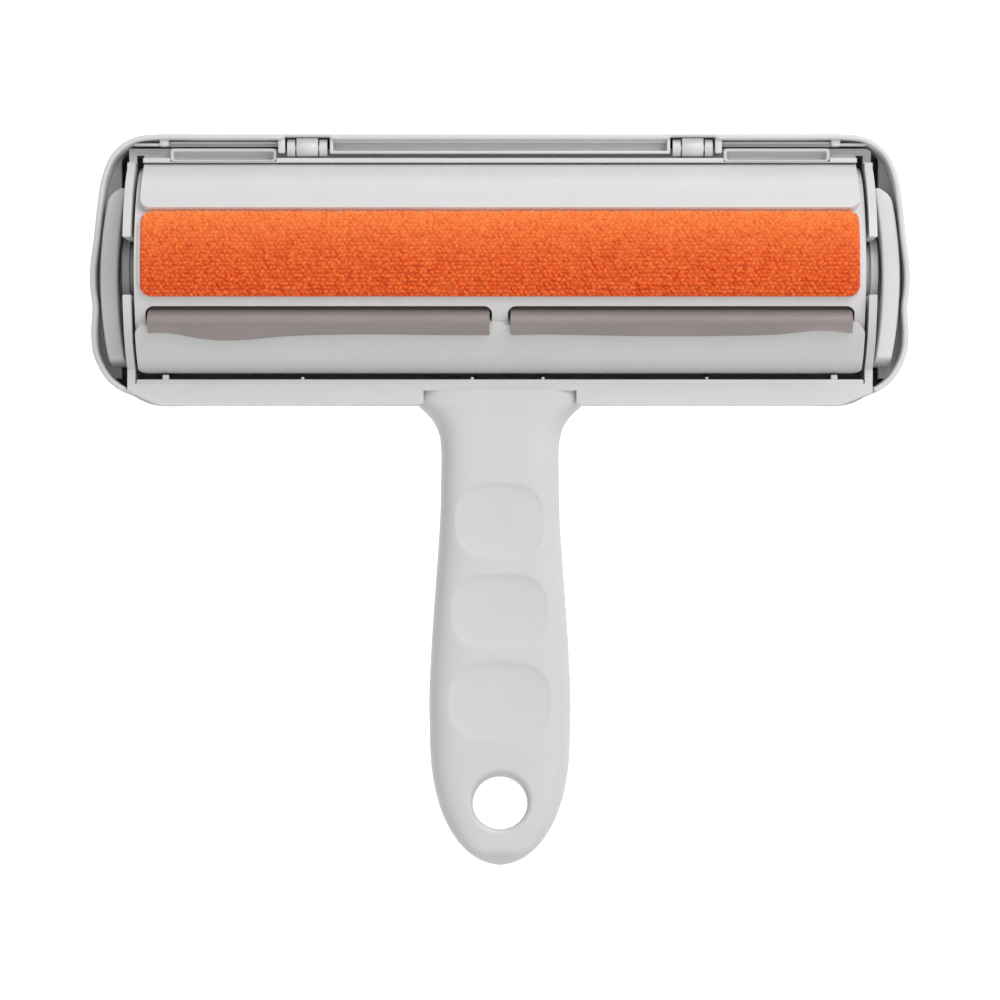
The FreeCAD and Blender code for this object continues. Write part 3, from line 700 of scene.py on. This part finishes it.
def joined(name: str, pieces: list) -> Piece:
    """Make one object of several closed solids.

    Args:
        name: The new object's name.
        pieces: The solids, of which the first one stays.

    Returns:
        The object.
    """
    for piece in bpy.context.view_layer.objects:
        piece.select_set(piece in pieces)
    bpy.context.view_layer.objects.active = pieces[0]
    bpy.ops.object.join()
    pieces[0].name = name
    return pieces[0]


def round_section(low: tuple, high: tuple, radius: float, steps: int = 5) -> np.ndarray:
    """Outline of a rectangle with rounded corners, or of a whole row of them.

    Args:
        low: Its lowest corner, or one for each rectangle.
        high: Its highest corner, or one for each.
        radius: Radius of the corners.
        steps: Points in each corner.

    Returns:
        The points, in order.
    """
    low, high = np.asarray(low) + radius, np.asarray(high) - radius
    swing = np.linspace(0, math.pi / 2, steps)
    corners = []
    for quarter, (across, up) in enumerate(((high, high), (low, high), (low, low), (high, low))):
        angle = swing + quarter * math.pi / 2
        u, v = across[..., :1] + radius * np.cos(angle), up[..., 1:] + radius * np.sin(angle)
        corners.append(np.stack([u, v], axis=-1))
    return np.concatenate(corners, axis=-2)


def along_y(section: np.ndarray, y: np.ndarray, mirror: int = 1) -> np.ndarray:
    """Stand a row of sections at their places along Y.

    Args:
        section: Points as (section, point, xz).
        y: Place of each section.
        mirror: 1, or -1 to mirror them in X.

    Returns:
        Points as (section, point, xyz).
    """
    x, z = section[..., 0], section[..., 1]
    return np.stack([mirror * x, np.broadcast_to(y[:, None], x.shape), z], axis=-1)


def long_block(name: str, low: tuple, high: tuple, radius: float = 0.3 * MM) -> Piece:
    """A block along X with all its edges softened.

    Args:
        name: The block's name.
        low: Its lowest corner.
        high: Its highest corner.
        radius: Radius of its edges.

    Returns:
        The block.
    """
    rings = []
    for inset, shrink in ((0.0, radius), (radius * 0.3, radius * 0.3), (radius, 0.0)):
        section = round_section(
            (low[1] + shrink, low[2] + shrink), (high[1] - shrink, high[2] - shrink), radius * 0.9
        )
        rings.append((inset, section))
    ends = [(low[0] + inset, section) for inset, section in rings]
    ends += [(high[0] - inset, section) for inset, section in reversed(rings)]
    points = [np.column_stack([np.full(len(section), x), section]) for x, section in ends]
    return carried_solid(name, np.array(points))


def barrel(name: str, start: float, end: float, y: float, z: float, radius: float) -> Piece:
    """A short rod along X with softened ends.

    Args:
        name: The rod's name.
        start: X of one end.
        end: X of the other end.
        y: Y of its axis.
        z: Z of its axis.
        radius: Its radius.

    Returns:
        The rod.
    """
    turn = np.linspace(0, 2 * math.pi, 48, endpoint=False)
    soft = 0.2 * MM
    rings = []
    for x, r in ((start, radius - soft), (start + soft, radius), (end - soft, radius), (end, radius - soft)):
        rings.append(np.stack([np.full(48, x), y + r * np.cos(turn), z + r * np.sin(turn)], axis=-1))
    return carried_solid(name, np.array(rings), 50.0)


@dataclass(frozen=True)
class HeadOutline:
    """The cover's outline seen from the front, as half of a closed loop that is mirrored."""

    flank: tuple = (
        (70.0, 31.0), (78.5, 31.0), (84.6, 30.1), (89.2, 26.6), (91.6, 21.2), (92.7, 14.5), (93.5, 7.0),
        (94.3, 0.5), (94.3, -4.5), (93.8, -9.0), (94.1, -15.0), (93.4, -20.2), (90.6, -25.4), (86.4, -28.6),
        (81.0, -30.9), (72.0, -31.0),
    )
    count: int = 1400

    def loop(self) -> np.ndarray:
        """Smooth the control points with a Catmull-Rom curve and spread points evenly round it.

        On each span from b to c, with neighbours a and d, the point at share t is half of
        2b + (c - a)t + (2a - 5b + 4c - d)t^2 + (3b - a - 3c + d)t^3.

        Returns:
            The points in metres, counter-clockwise.
        """
        right = np.array(self.flank)[::-1]
        left = right[::-1] * (-1, 1)
        edge = np.linspace(self.flank[0][0], -self.flank[0][0], 15)[1:-1, None] * (1, 0)
        far, near = edge + (0, self.flank[0][1]), edge[::-1] + (0, self.flank[-1][1])
        control = np.concatenate([right, far, left, near])
        before, after, later = (np.roll(control, shift, axis=0) for shift in (1, -1, -2))
        share = np.linspace(0, 1, 24, endpoint=False)[None, :, None]
        a, b, c, d = (part[:, None, :] for part in (before, control, after, later))
        curve = 0.5 * (
            2 * b
            + (c - a) * share
            + (2 * a - 5 * b + 4 * c - d) * share**2
            + (3 * b - a - 3 * c + d) * share**3
        )
        curve = curve.reshape(-1, 2)
        closed = np.concatenate([curve, curve[:1]])
        length = np.concatenate([[0], np.cumsum(np.linalg.norm(np.diff(closed, axis=0), axis=1))])
        even = np.linspace(0, length[-1], self.count, endpoint=False)
        points = np.stack([np.interp(even, length, closed[:, axis]) for axis in (0, 1)], axis=-1)
        return points * MM

    def inset(self, loop: np.ndarray, distance: float) -> np.ndarray:
        """Move every point inwards along its normal.

        Args:
            loop: The points.
            distance: How far they move.

        Returns:
            The moved points.
        """
        run = np.roll(loop, -3, axis=0) - np.roll(loop, 3, axis=0)
        run /= np.linalg.norm(run, axis=1, keepdims=True)
        return loop + distance * np.stack([-run[:, 1], run[:, 0]], axis=-1)


@dataclass
class BinTray:
    """The bin cover: a thin tray with bowed end bands, shelves, hinge knuckles, ribs and ledges.

    The tuples and the sizes of the bands and the shelves are in millimetres.
    """

    hinge_y: float
    hinge_z: float
    hinge_centre: float
    outline: HeadOutline = HeadOutline()
    wall: float = 1.25 * MM
    rim: float = 36.0 * MM
    lip: float = 13.0 * MM
    floor_bend: float = 12.0 * MM
    mouth: float = 86.2 * MM
    knuckle: float = 5.0 * MM
    hinge_radius: float = 2.0 * MM
    hinge_relief: float = 0.6
    hinge_relief_reach: float = 5.6
    root_low: float = 31.4 * MM
    root_high: tuple = (30.2 * MM, 34.6 * MM)
    # Inset and height of the steps up the outside to the rim.
    outside: tuple = (
        (6.5, 0.0), (4.2, 0.25), (2.4, 1.0), (1.1, 2.3), (0.35, 4.4), (0.0, 8.0), (0.0, 12.0), (0.0, 35.45),
        (0.12, 35.85), (0.35, 36.0),
    )
    # Inset past the wall's thickness, and height, of the steps down the inside.
    inside: tuple = (
        (-0.35, 36.0), (-0.12, 35.85), (0.0, 35.45), (0.0, 12.0), (0.0, 8.0), (0.3, 5.0), (1.1, 3.0),
        (2.3, 1.7), (5.4, 1.3),
    )
    band_near: float = -22.4
    band_far: float = 18.6
    band_middle: float = -2.0
    band_outer: float = 92.2
    band_inner: float = 88.15
    outer_bow: float = 90.0
    inner_bow: float = 110.0
    band_round: float = 3.4
    band_dip: float = 2.2
    band_top: float = 34.6
    band_edge: float = 0.55
    shelf_ends: tuple = (-25.0, 26.6)
    shelf_inner: float = 87.8
    shelf_low: float = 24.6
    shelf_top: float = 26.2
    # Start and end along X, near and far Y, and lowest and highest Z of the ribs and ledges in the far wall.
    trims: tuple = (
        (76.3, 78.4, 28.3, 30.2, 31.4, 34.9), (51.0, 76.4, 28.95, 29.5, 31.4, 32.9),
        (51.0, 76.4, 28.3, 29.5, 31.4, 31.9), (78.3, 84.5, 28.4, 29.0, 31.4, 34.4),
        (0.0, 38.8, 27.1, 29.9, 31.4, 32.4), (0.0, 39.0, 26.55, 27.2, 31.4, 35.2),
        (0.0, 38.8, 29.1, 29.9, 32.3, 33.9), (38.4, 39.2, 26.55, 30.2, 31.4, 35.2),
        (49.5, 51.1, 26.7, 30.2, 31.4, 35.2),
    )

    def shell(self) -> Piece:
        """Carry the outline up the outside, over the rim and down the inside.

        The rim drops to the lip across the mouth in the near wall, and the wall is thinner at the hinges.
        """
        loop = self.outline.loop()
        near = np.clip((self.mouth + 0.4 * MM - np.abs(loop[:, 0])) / (0.8 * MM), 0, 1)
        near = np.where(loop[:, 1] < -20 * MM, near, 0)
        rim = self.rim + (self.lip - self.rim) * near
        wall = self.wall / MM
        steps = [*self.outside, *((wall + inset, height) for inset, height in self.inside)]
        off_hinge = np.abs(np.abs(loop[:, 0]) - self.hinge_centre) / MM
        thin = np.clip((self.hinge_relief_reach - off_hinge) / 0.5, 0, 1) * (loop[:, 1] > 20 * MM)
        low = self.floor_bend
        rings = []
        for inset, height in steps:
            lean = thin * self.hinge_relief * (inset > wall - 0.5) * (height * MM > 10 * MM)
            points = self.outline.inset(loop, (inset - lean)[:, None] * MM)
            level = height * MM
            raised = low + (level - low) * (rim - low) / (self.rim - low)
            rings.append(np.column_stack([points, np.where(level > low, raised, level)]))
        return carried_solid("tray_shell", np.array(rings), 50.0)

    def band(self, side: Side) -> Piece:
        """A band inside one end, whose faces are parabolas and whose far corner is a quarter circle.

        Args:
            side: The end.

        Returns:
            The band.
        """
        y = np.linspace(self.band_near, self.band_far, 90)
        off = (y - self.band_middle) ** 2
        outer = self.band_outer - off / (2 * self.outer_bow)
        inner = self.band_inner - off / (2 * self.inner_bow)
        turn = np.clip(self.band_round - (self.band_far - y), 0, self.band_round)
        outer -= self.band_round - np.sqrt(self.band_round**2 - turn**2) * 0.98
        dip = np.clip(self.band_dip - (y - self.band_near), 0, self.band_dip) / self.band_dip
        low = np.stack([inner, np.ones_like(y)], axis=-1)
        high = np.stack([np.maximum(outer, inner + 1.3), self.band_top - 6.0 * dip**2], axis=-1)
        section = round_section(low, high, self.band_edge)
        return carried_solid(f"{side.word}_band", along_y(section, y, side.value) * MM, 50.0)

    def shelf(self, side: Side) -> Piece:
        """A step between an end's outer wall and its band, which follows the wall.

        Args:
            side: The end.

        Returns:
            The step.
        """
        loop = self.outline.loop()
        right = loop[loop[:, 0] > 86 * MM]
        right = right[np.argsort(right[:, 1])]
        y = np.linspace(*self.shelf_ends, 110) * MM
        edge = np.interp(y, right[:, 1], right[:, 0]) - self.wall * 0.7
        inner = np.minimum(self.shelf_inner * MM, edge - 1.0 * MM)
        low = np.stack([inner, np.full_like(y, self.shelf_low * MM)], axis=-1)
        high = np.stack([edge, np.full_like(y, self.shelf_top * MM)], axis=-1)
        section = round_section(low, high, 0.3 * MM)
        return carried_solid(f"{side.word}_shelf", along_y(section, y, side.value), 50.0)

    def hinge(self, side: Side) -> list:
        """A knuckle and the root that carries it.

        Args:
            side: The end.

        Returns:
            The two solids.
        """
        middle = side.value * self.hinge_centre
        start, end = middle - self.knuckle / 2, middle + self.knuckle / 2
        knuckle = barrel(f"knuckle_{side.name}", start, end, self.hinge_y, self.hinge_z, self.hinge_radius)
        low, high = (start, self.hinge_y, self.root_low), (end, *self.root_high)
        return [knuckle, long_block(f"root_{side.name}", low, high, 0.2 * MM)]

    def build(self) -> Piece:
        """Join the shell, the bands, the shelves, the hinges and the trims."""
        solids = [self.shell()]
        for side in Side:
            solids += [self.band(side), self.shelf(side)]
        for side in Side:
            solids += self.hinge(side)
            for start, end, near, far, low, high in self.trims:
                if start == 0 and side is Side.LEFT:
                    continue
                low_x, high_x = sorted((side.value * (start or -end), side.value * end))
                corners = (low_x * MM, near * MM, low * MM), (high_x * MM, far * MM, high * MM)
                solids.append(long_block(f"trim_{side.name}_{start}", *corners))
        return joined("bin_tray", solids)


@dataclass
class FrameTrim:
    """Fine forms on the frame, in millimetres: a stepped crossbar with cups, and the rail's lip and pegs."""

    half: float = 82.2
    clear: float = 26.55
    axis: float = 24.0
    cup_low: float = 51.5
    cup_high: float = 76.0
    cup_near: float = 24.8
    cup_far: float = 27.85
    # Inset and height of the steps up the outside of a cup and down its inside.
    cup_steps: tuple = (
        (0.0, 31.1), (0.0, 33.6), (0.15, 33.85), (0.6, 33.85), (0.75, 33.65), (0.85, 31.5), (1.2, 31.3),
    )
    lip_low: tuple = (-83.7, -26.6, 34.3)
    lip_high: tuple = (83.7, -25.45, 36.0)
    # Middle along X, width and reach towards the roller of each peg.
    pegs: tuple = (
        (-76.9, 1.5, 24.4), (76.9, 1.5, 24.4), (-45.4, 0.7, 24.9), (-6.4, 0.7, 24.9), (9.9, 0.7, 24.9),
        (47.6, 0.7, 24.9),
    )
    peg_low: float = 34.6
    peg_top: float = 35.7

    def crossbar(self) -> Piece:
        """Carry the stepped section along X.

        Its inner face is an arc about the roller's axis, and its back is nearer where the cups are.
        """
        gap = 0.05
        stops = (-self.half, -self.cup_high, -self.cup_low, self.cup_low, self.cup_high, self.half)
        spans = []
        for start, end, count in zip(stops, stops[1:], (8, 8, 20, 8, 8)):
            first = start + gap * (start > -self.half)
            spans.append(np.linspace(first, end - gap * (end < self.half), count))
        along = np.concatenate(spans)[:, None]
        inside = (np.abs(along) > self.cup_low) & (np.abs(along) < self.cup_high)
        heights = np.linspace(30.9, 34.3, 8)
        inner = np.sqrt(self.clear**2 - (heights - self.axis) ** 2)
        back = np.where(inside, 24.75, 25.6) + (0.0, 0.05, 0.9, 0.9)
        front = np.broadcast_to(np.concatenate([inner, (24.6, 24.7)]), (len(along), 10))
        y = np.concatenate([front, back], axis=1)
        z = np.concatenate([heights, (34.55, 34.55, 34.3, 31.2, 31.1, 30.9)])
        return carried_solid("crossbar_step", np.stack(np.broadcast_arrays(along, y, z), axis=-1) * MM, 35.0)

    def cup(self, side: Side) -> Piece:
        """A shallow open cup on the crossbar.

        Args:
            side: The end.

        Returns:
            The cup.
        """
        rings = []
        for inset, height in self.cup_steps:
            low = (self.cup_low + inset, self.cup_near + 0.6 * inset)
            high = (self.cup_high - inset, self.cup_far - inset)
            plan = round_section(low, high, 0.35 + 0.3 * (inset < 0.5))
            rings.append(np.column_stack([side.value * plan[:, 0], plan[:, 1], np.full(len(plan), height)]))
        return carried_solid(f"{side.word}_cup", np.array(rings) * MM, 40.0)

    def build(self) -> Piece:
        """Join the crossbar's step, the cups, the rail's lip and its pegs."""
        solids = [self.crossbar(), self.cup(Side.LEFT), self.cup(Side.RIGHT)]
        low, high = np.array((self.lip_low, self.lip_high)) * MM
        solids.append(long_block("rail_lip", low, high, 0.4 * MM))
        for centre, width, reach in self.pegs:
            low = np.array((centre - width / 2, self.lip_low[1], self.peg_low)) * MM
            high = np.array((centre + width / 2, -reach, self.peg_top)) * MM
            solids.append(long_block(f"peg_{centre}", low, high, 0.2 * MM))
        return joined("frame_trim", solids)


@dataclass
class Handle:
    """The handle in millimetres: a smooth moulding with finger dimples, a hanging hole and pockets."""

    # Y and half width, then Y and height of the front and of the back.
    half_widths: tuple = (
        (-27.5, 18.6), (-29.2, 18.9), (-31.0, 19.6), (-32.6, 17.6), (-34.4, 15.8), (-36.6, 14.5),
        (-39.3, 13.8), (-43.0, 13.6), (-57.8, 13.9), (-67.2, 14.6), (-76.5, 15.3), (-85.9, 16.0),
        (-100.1, 16.7), (-108.0, 16.5), (-139.3, 16.5),
    )
    front: tuple = (
        (-27.5, 36.3), (-31.0, 36.0), (-58.0, 30.6), (-85.0, 25.0), (-112.0, 19.4), (-139.3, 13.6),
    )
    back: tuple = ((-27.5, 17.5), (-31.0, 14.0), (-58.0, 7.6), (-85.0, 3.6), (-112.0, 1.2), (-139.3, 0.25))
    start: float = -27.5
    tail: float = -130.0
    end: float = -139.3
    narrowing: float = -108.0
    edge_power: float = 0.34
    # Y, half width and half length of each dimple.
    dimples: tuple = ((-58.1, 10.2, 8.9), (-79.2, 11.2, 8.95), (-100.3, 11.8, 9.6))
    dimple_depth: float = 0.75
    hole_y: float = -124.7
    hole_lean: float = 0.10
    # Height, radius and slope of the rings of the hole, which opens out at the front.
    hole_rings: tuple = (
        (-3.0, 6.5, 0.0), (14.2, 6.5, 0.15), (15.9, 6.6, 0.21), (16.4, 6.9, 0.21), (16.75, 7.4, 0.21),
        (17.0, 8.2, 0.21), (18.5, 12.0, 0.21),
    )
    pocket: tuple = ((-8.3, -49.3, -2.0), (8.3, -38.7, 22.0))
    # Y of each screw's recess and the height of its bottom.
    screws: tuple = ((-68.0, 8.9), (-108.0, 5.5))
    screw_radius: float = 3.0
    across: int = 144
    along: int = 420

    def section(self, y: np.ndarray, half: np.ndarray, top: np.ndarray, low: np.ndarray) -> np.ndarray:
        """Closed sections: superellipses whose front has the dimples pressed into it.

        Args:
            y: Place of each section.
            half: Half its width.
            top: Height of its front.
            low: Height of its back.

        Returns:
            Points as (section, point, xz), from the back's middle round to itself.
        """
        y, half, top, low = (part[:, None] for part in (y, half, top, low))
        share = np.linspace(0, 2 * math.pi, self.across, endpoint=False)
        cosine, sine = np.sin(share), -np.cos(share)
        x = half * np.sign(cosine) * np.abs(cosine) ** self.edge_power
        z = (top + low) / 2 + (top - low) / 2 * np.sign(sine) * np.abs(sine) ** (self.edge_power * 1.5)
        for centre, width, length in self.dimples:
            away = np.abs(x / width) ** 2.6 + np.abs((y - centre) / length) ** 2.6
            z = z - (sine > 0) * self.dimple_depth * np.clip(1 - away, 0, 1) ** 0.55
        return np.stack([x, z], axis=-1)

    def widths(self, y: np.ndarray) -> np.ndarray:
        """Half width at each Y: the smoothed table, narrowed to a round tip.

        Args:
            y: The places.

        Returns:
            The half widths.
        """
        places, widths = np.array(self.half_widths).T
        half = np.interp(-y, -places, widths)
        for reach, first in ((7, 0), (30, 44)):
            kernel = np.hanning(2 * reach + 3)[1:-1]
            soft = np.convolve(np.pad(half, reach, "edge"), kernel / kernel.sum(), "valid")
            share = np.clip((-y - first) / 8, 0, 1) if first else 1.0
            half = half + (soft - half) * share
        tip = np.clip((self.narrowing - y) / (self.narrowing - self.end), 0, 1)
        return half * np.sqrt(np.clip(1 - tip**2.3, 0.0015, 1))

    def build(self) -> Piece:
        """Carry the section along the handle with its tip rounded off, then cut the hole and pockets."""
        turn = np.linspace(0, math.pi / 2, 70)[1:]
        tail = self.tail - (self.tail - self.end) * np.sin(turn)
        y = np.concatenate([np.linspace(self.start, self.tail, self.along), tail])
        (front_y, front_z), (back_y, back_z) = np.array(self.front).T, np.array(self.back).T
        squeeze = np.clip((self.end + 5.5 - y) / 5.5, 0, 1) ** 3
        top = np.interp(-y, -front_y, front_z) - 3.4 * squeeze
        low = np.interp(-y, -back_y, back_z) + 2.0 * squeeze
        rings = along_y(self.section(y, self.widths(y), top, low), y)
        handle = carried_solid("handle", rings * MM, 50.0)
        self.bore(handle)
        return handle

    def tools(self) -> list:
        """The hanging hole, the button's pocket and the screws' recesses.

        Returns:
            A solid for each cut.
        """
        turn = np.linspace(0, 2 * math.pi, 96, endpoint=False)
        height, radius, slope = np.array(self.hole_rings).T[:, :, None]
        up = radius * np.sin(turn)
        middle = self.hole_y + self.hole_lean * (height - 9)
        hole = np.stack([radius * np.cos(turn), middle + up, height + slope * up], axis=-1)
        low, high = (np.array(corner) * MM for corner in self.pocket)
        made = [carried_solid("hole_tool", hole * MM), long_block("pocket_tool", low, high)]
        for y, top in self.screws:
            x, out = self.screw_radius * np.cos(turn), y + self.screw_radius * np.sin(turn)
            ring = np.stack([x, out, 0 * turn], axis=-1)
            made.append(carried_solid("recess_tool", np.array([ring - (0, 0, 5), ring + (0, 0, top)]) * MM))
        return made

    def bore(self, handle: Piece) -> None:
        """Cut every hole and pocket.

        Args:
            handle: The solid that is cut.
        """
        for tool in self.tools():
            cut = handle.modifiers.new("hole", "BOOLEAN")
            cut.operation = "DIFFERENCE"
            cut.solver = "EXACT"
            cut.object = tool
            bpy.context.view_layer.objects.active = handle
            bpy.ops.object.modifier_apply(modifier=cut.name)
            bpy.data.objects.remove(tool)
        handle.data.set_sharp_from_angle(angle=math.radians(50))


@dataclass
class Brush:
    """The whole brush: dresses the moulded nodes and builds the soft pieces."""

    nodes: dict
    hinge_centre: float = 44.4 * MM
    wiper_top: float = 27.1 * MM
    wiper_fold: float = -26.4
    space: RollerSpace = field(init=False)

    def __post_init__(self) -> None:
        """Read the roller's axis off its shaft."""
        low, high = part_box("roller_shaft")
        self.space = RollerSpace((low.z + high.z) / 2)

    def span(self, node: str) -> tuple[float, float, float, float]:
        """Half length, low angle, high angle and outer radius of a curved node.

        Args:
            node: The node's name.

        Returns:
            The four sizes.
        """
        low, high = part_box(node)
        radius = high.z - self.space.axis_height
        return high.x, math.asin(low.y / radius), math.asin(high.y / radius), radius

    def finish_rigid(self) -> None:
        """Give every rigid node its finish."""
        white = MouldedPlastic("frame_plastic", (0.69, 0.69, 0.69)).material()
        cover = MouldedPlastic("cover_plastic", (0.66, 0.66, 0.66)).material()
        smooth = MouldedPlastic("roller_plastic", (0.72, 0.72, 0.72), 0.3, 0.6 * MM, 0.003 * MM).material()
        grey = MouldedPlastic("bearing_plastic", (0.56, 0.56, 0.57), 0.45).material()
        steel = DrawnSteel().material()
        finishes = {
            white: ("roller_frame",),
            cover: ("release_button",),
            smooth: ("roller_body", "far_roller_bar", "near_roller_bar", "wiper_clamps"),
            grey: ("left_bearing", "right_bearing"),
            steel: ("roller_shaft", "hinge_pins", "handle_screws", "button_spring"),
        }
        for finish, nodes in finishes.items():
            for node in nodes:
                mesh = self.nodes[node].data
                mesh.materials.clear()
                mesh.materials.append(finish)
                LOG.info("%s: %s", node, finish.name)

    def settle(self, piece: Piece, finish: Finish, body: str, slot: str, *nodes: str) -> None:
        """Dress a new piece and tie it to the frame.

        Args:
            piece: The new piece.
            finish: Its material.
            body: The body it moves with.
            slot: The record's material slot; not used.
            nodes: The nodes it stands for, if any.
        """
        piece.data.materials.append(finish)
        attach(piece, body)
        if nodes:
            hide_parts(*nodes)
        LOG.info("%s on %s, for %s", piece.name, body, ", ".join(nodes) or "no node")

    def build_cloth(self) -> None:
        """The bristle cloth and its backing."""
        half, low, high, top = self.span("bristle_fabric")
        edge, back_low, back_high, base = self.span("fabric_backing")
        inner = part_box("roller_body")[1].z - self.space.axis_height
        backing = BackingCloth(self.space, edge, back_low, back_high, inner, base).build()
        weave = PlainWeave("backing_weave", (0.80, 0.72, 0.73)).material()
        self.settle(backing, weave, "roller", "backing", "fabric_backing")
        pile = PileCloth(self.space, half, low, high, base, top).build()
        self.settle(pile, BristleFabric().material(), "roller", "orange_fabric", "bristle_fabric")

    def build_wipers(self) -> None:
        """The two wipers."""
        rubber = SoftRubber().material()
        fold = math.radians(self.wiper_fold)
        for side in Side:
            node = f"{side.word}_wiper"
            low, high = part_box(node)
            root = (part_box("wiper_clamps")[0].z - self.space.axis_height) / math.cos(fold)
            free = math.asin(low.y / self.wiper_top)
            wiper = Wiper(self.space, side, low.x, high.x, fold, free, root, self.wiper_top)
            self.settle(wiper.build(), rubber, "roller", "wiper_rubber", node)

    def build_plastic(self) -> None:
        """The bin cover's finer tray, the fine forms on the frame, and the handle."""
        low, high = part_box("hinge_pins")
        y, z = (low.y + high.y) / 2, (low.z + high.z) / 2
        cover = MouldedPlastic("tray_plastic", (0.72, 0.72, 0.72)).material()
        self.settle(BinTray(y, z, self.hinge_centre).build(), cover, "cover", "cover_plastic", "bin_cover")
        white = self.nodes["roller_frame"].data.materials[0]
        self.settle(FrameTrim().build(), white, "frame", "frame_plastic")
        shells = ("handle_front_shell", "handle_back_shell")
        self.settle(Handle().build(), white, "frame", "frame_plastic", *shells)

    def build_strip(self) -> None:
        """The plush strip."""
        low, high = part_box("catch_strip")
        plush = CatchPlush(tuple(low), tuple(high)).build()
        self.settle(plush, Plush().material(), "frame", "strip_plush", "catch_strip")


@dataclass
class Studio:
    """A pale floor, soft lights and a camera straight above."""

    pixel: float = 0.23 * MM
    pixels: int = 1000
    distance: float = 1.0
    middle_y: float = -53.2 * MM
    front_height: float = 36 * MM
    floor_grey: float = 0.5
    floor_glow: float = 0.95
    world_strength: float = 0.55
    # Name, place, side of the panel and power of each lamp.
    lamps: tuple = (("key", (0.55, 0.75, 0.9), 0.8, 9.0), ("fill", (0.3, -0.8, 1.0), 1.1, 3.2))

    def camera(self) -> None:
        """Look straight down at the middle of the picture from the photographer's distance."""
        data = bpy.data.cameras.new("camera")
        data.sensor_width = 36.0
        data.lens = data.sensor_width * self.distance / (self.pixel * self.pixels)
        camera = bpy.data.objects.new("camera", data)
        camera.location = (0.0, self.middle_y, self.front_height + self.distance)
        bpy.context.scene.collection.objects.link(camera)
        bpy.context.scene.camera = camera

    def floor(self) -> None:
        """A large pale plane under the brush, which the camera sees as near white."""
        bpy.ops.mesh.primitive_plane_add(size=6.0, location=(0, 0, -0.0005))
        plane = bpy.context.object
        plane.name = "floor"
        paint = Paint("floor")
        camera, glossy = (
            paint.node("ShaderNodeLightPath", {}, {}, f"Is {ray} Ray") for ray in ("Camera", "Glossy")
        )
        seen = paint.node("ShaderNodeMath", {"operation": "ADD", "use_clamp": True}, {0: camera, 1: glossy})
        glow = paint.node("ShaderNodeEmission", {}, {"Strength": seen * self.floor_glow})
        diffuse = paint.node("ShaderNodeBsdfDiffuse", {}, {"Color": (*[self.floor_grey] * 3, 1.0)})
        both = paint.node("ShaderNodeAddShader", {}, {0: diffuse, 1: glow})
        paint.feed(paint.tree.nodes["Material Output"].inputs["Surface"], both)
        paint.tree.nodes.remove(paint.shader)
        plane.data.materials.append(paint.material)

    @staticmethod
    def towards(aim: np.ndarray) -> tuple:
        """Rotation that points an object's -Z along a direction.

        Args:
            aim: The direction.

        Returns:
            Euler angles: a tilt about X, none about Y and a turn about Z.
        """
        x, y, z = aim / np.linalg.norm(aim)
        return math.acos(-z), 0.0, math.atan2(x, -y) + math.pi

    def lamp(self, name: str, place: tuple, size: float, power: float) -> None:
        """A square softbox aimed at the brush.

        Args:
            name: The lamp's name.
            place: Where it stands.
            size: The side of its panel.
            power: Its power in watts.
        """
        data = bpy.data.lights.new(name, "AREA")
        data.size = size
        data.energy = power
        lamp = bpy.data.objects.new(name, data)
        lamp.location = place
        aim = np.array([0.0, self.middle_y, 0.0]) - np.array(place)
        lamp.rotation_euler = self.towards(aim)
        bpy.context.scene.collection.objects.link(lamp)

    def build(self) -> None:
        """Camera, floor, lights and world."""
        scene = bpy.context.scene
        scene.view_settings.view_transform = "Standard"
        self.camera()
        self.floor()
        for lamp in self.lamps:
            self.lamp(*lamp)
        world = bpy.data.worlds.new("world")
        scene.world = world
        world.use_nodes = True
        back = world.node_tree.nodes["Background"]
        back.inputs["Color"].default_value = (1.0, 1.0, 1.0, 1.0)
        back.inputs["Strength"].default_value = self.world_strength


def main() -> None:
    """Build the brush and the studio."""
    logging.basicConfig(level=logging.INFO, format="%(message)s")
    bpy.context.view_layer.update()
    brush = Brush(frame["nodes"])
    brush.finish_rigid()
    brush.build_cloth()
    brush.build_wipers()
    brush.build_strip()
    brush.build_plastic()
    Studio().build()


if __name__ == "__main__":
    main()
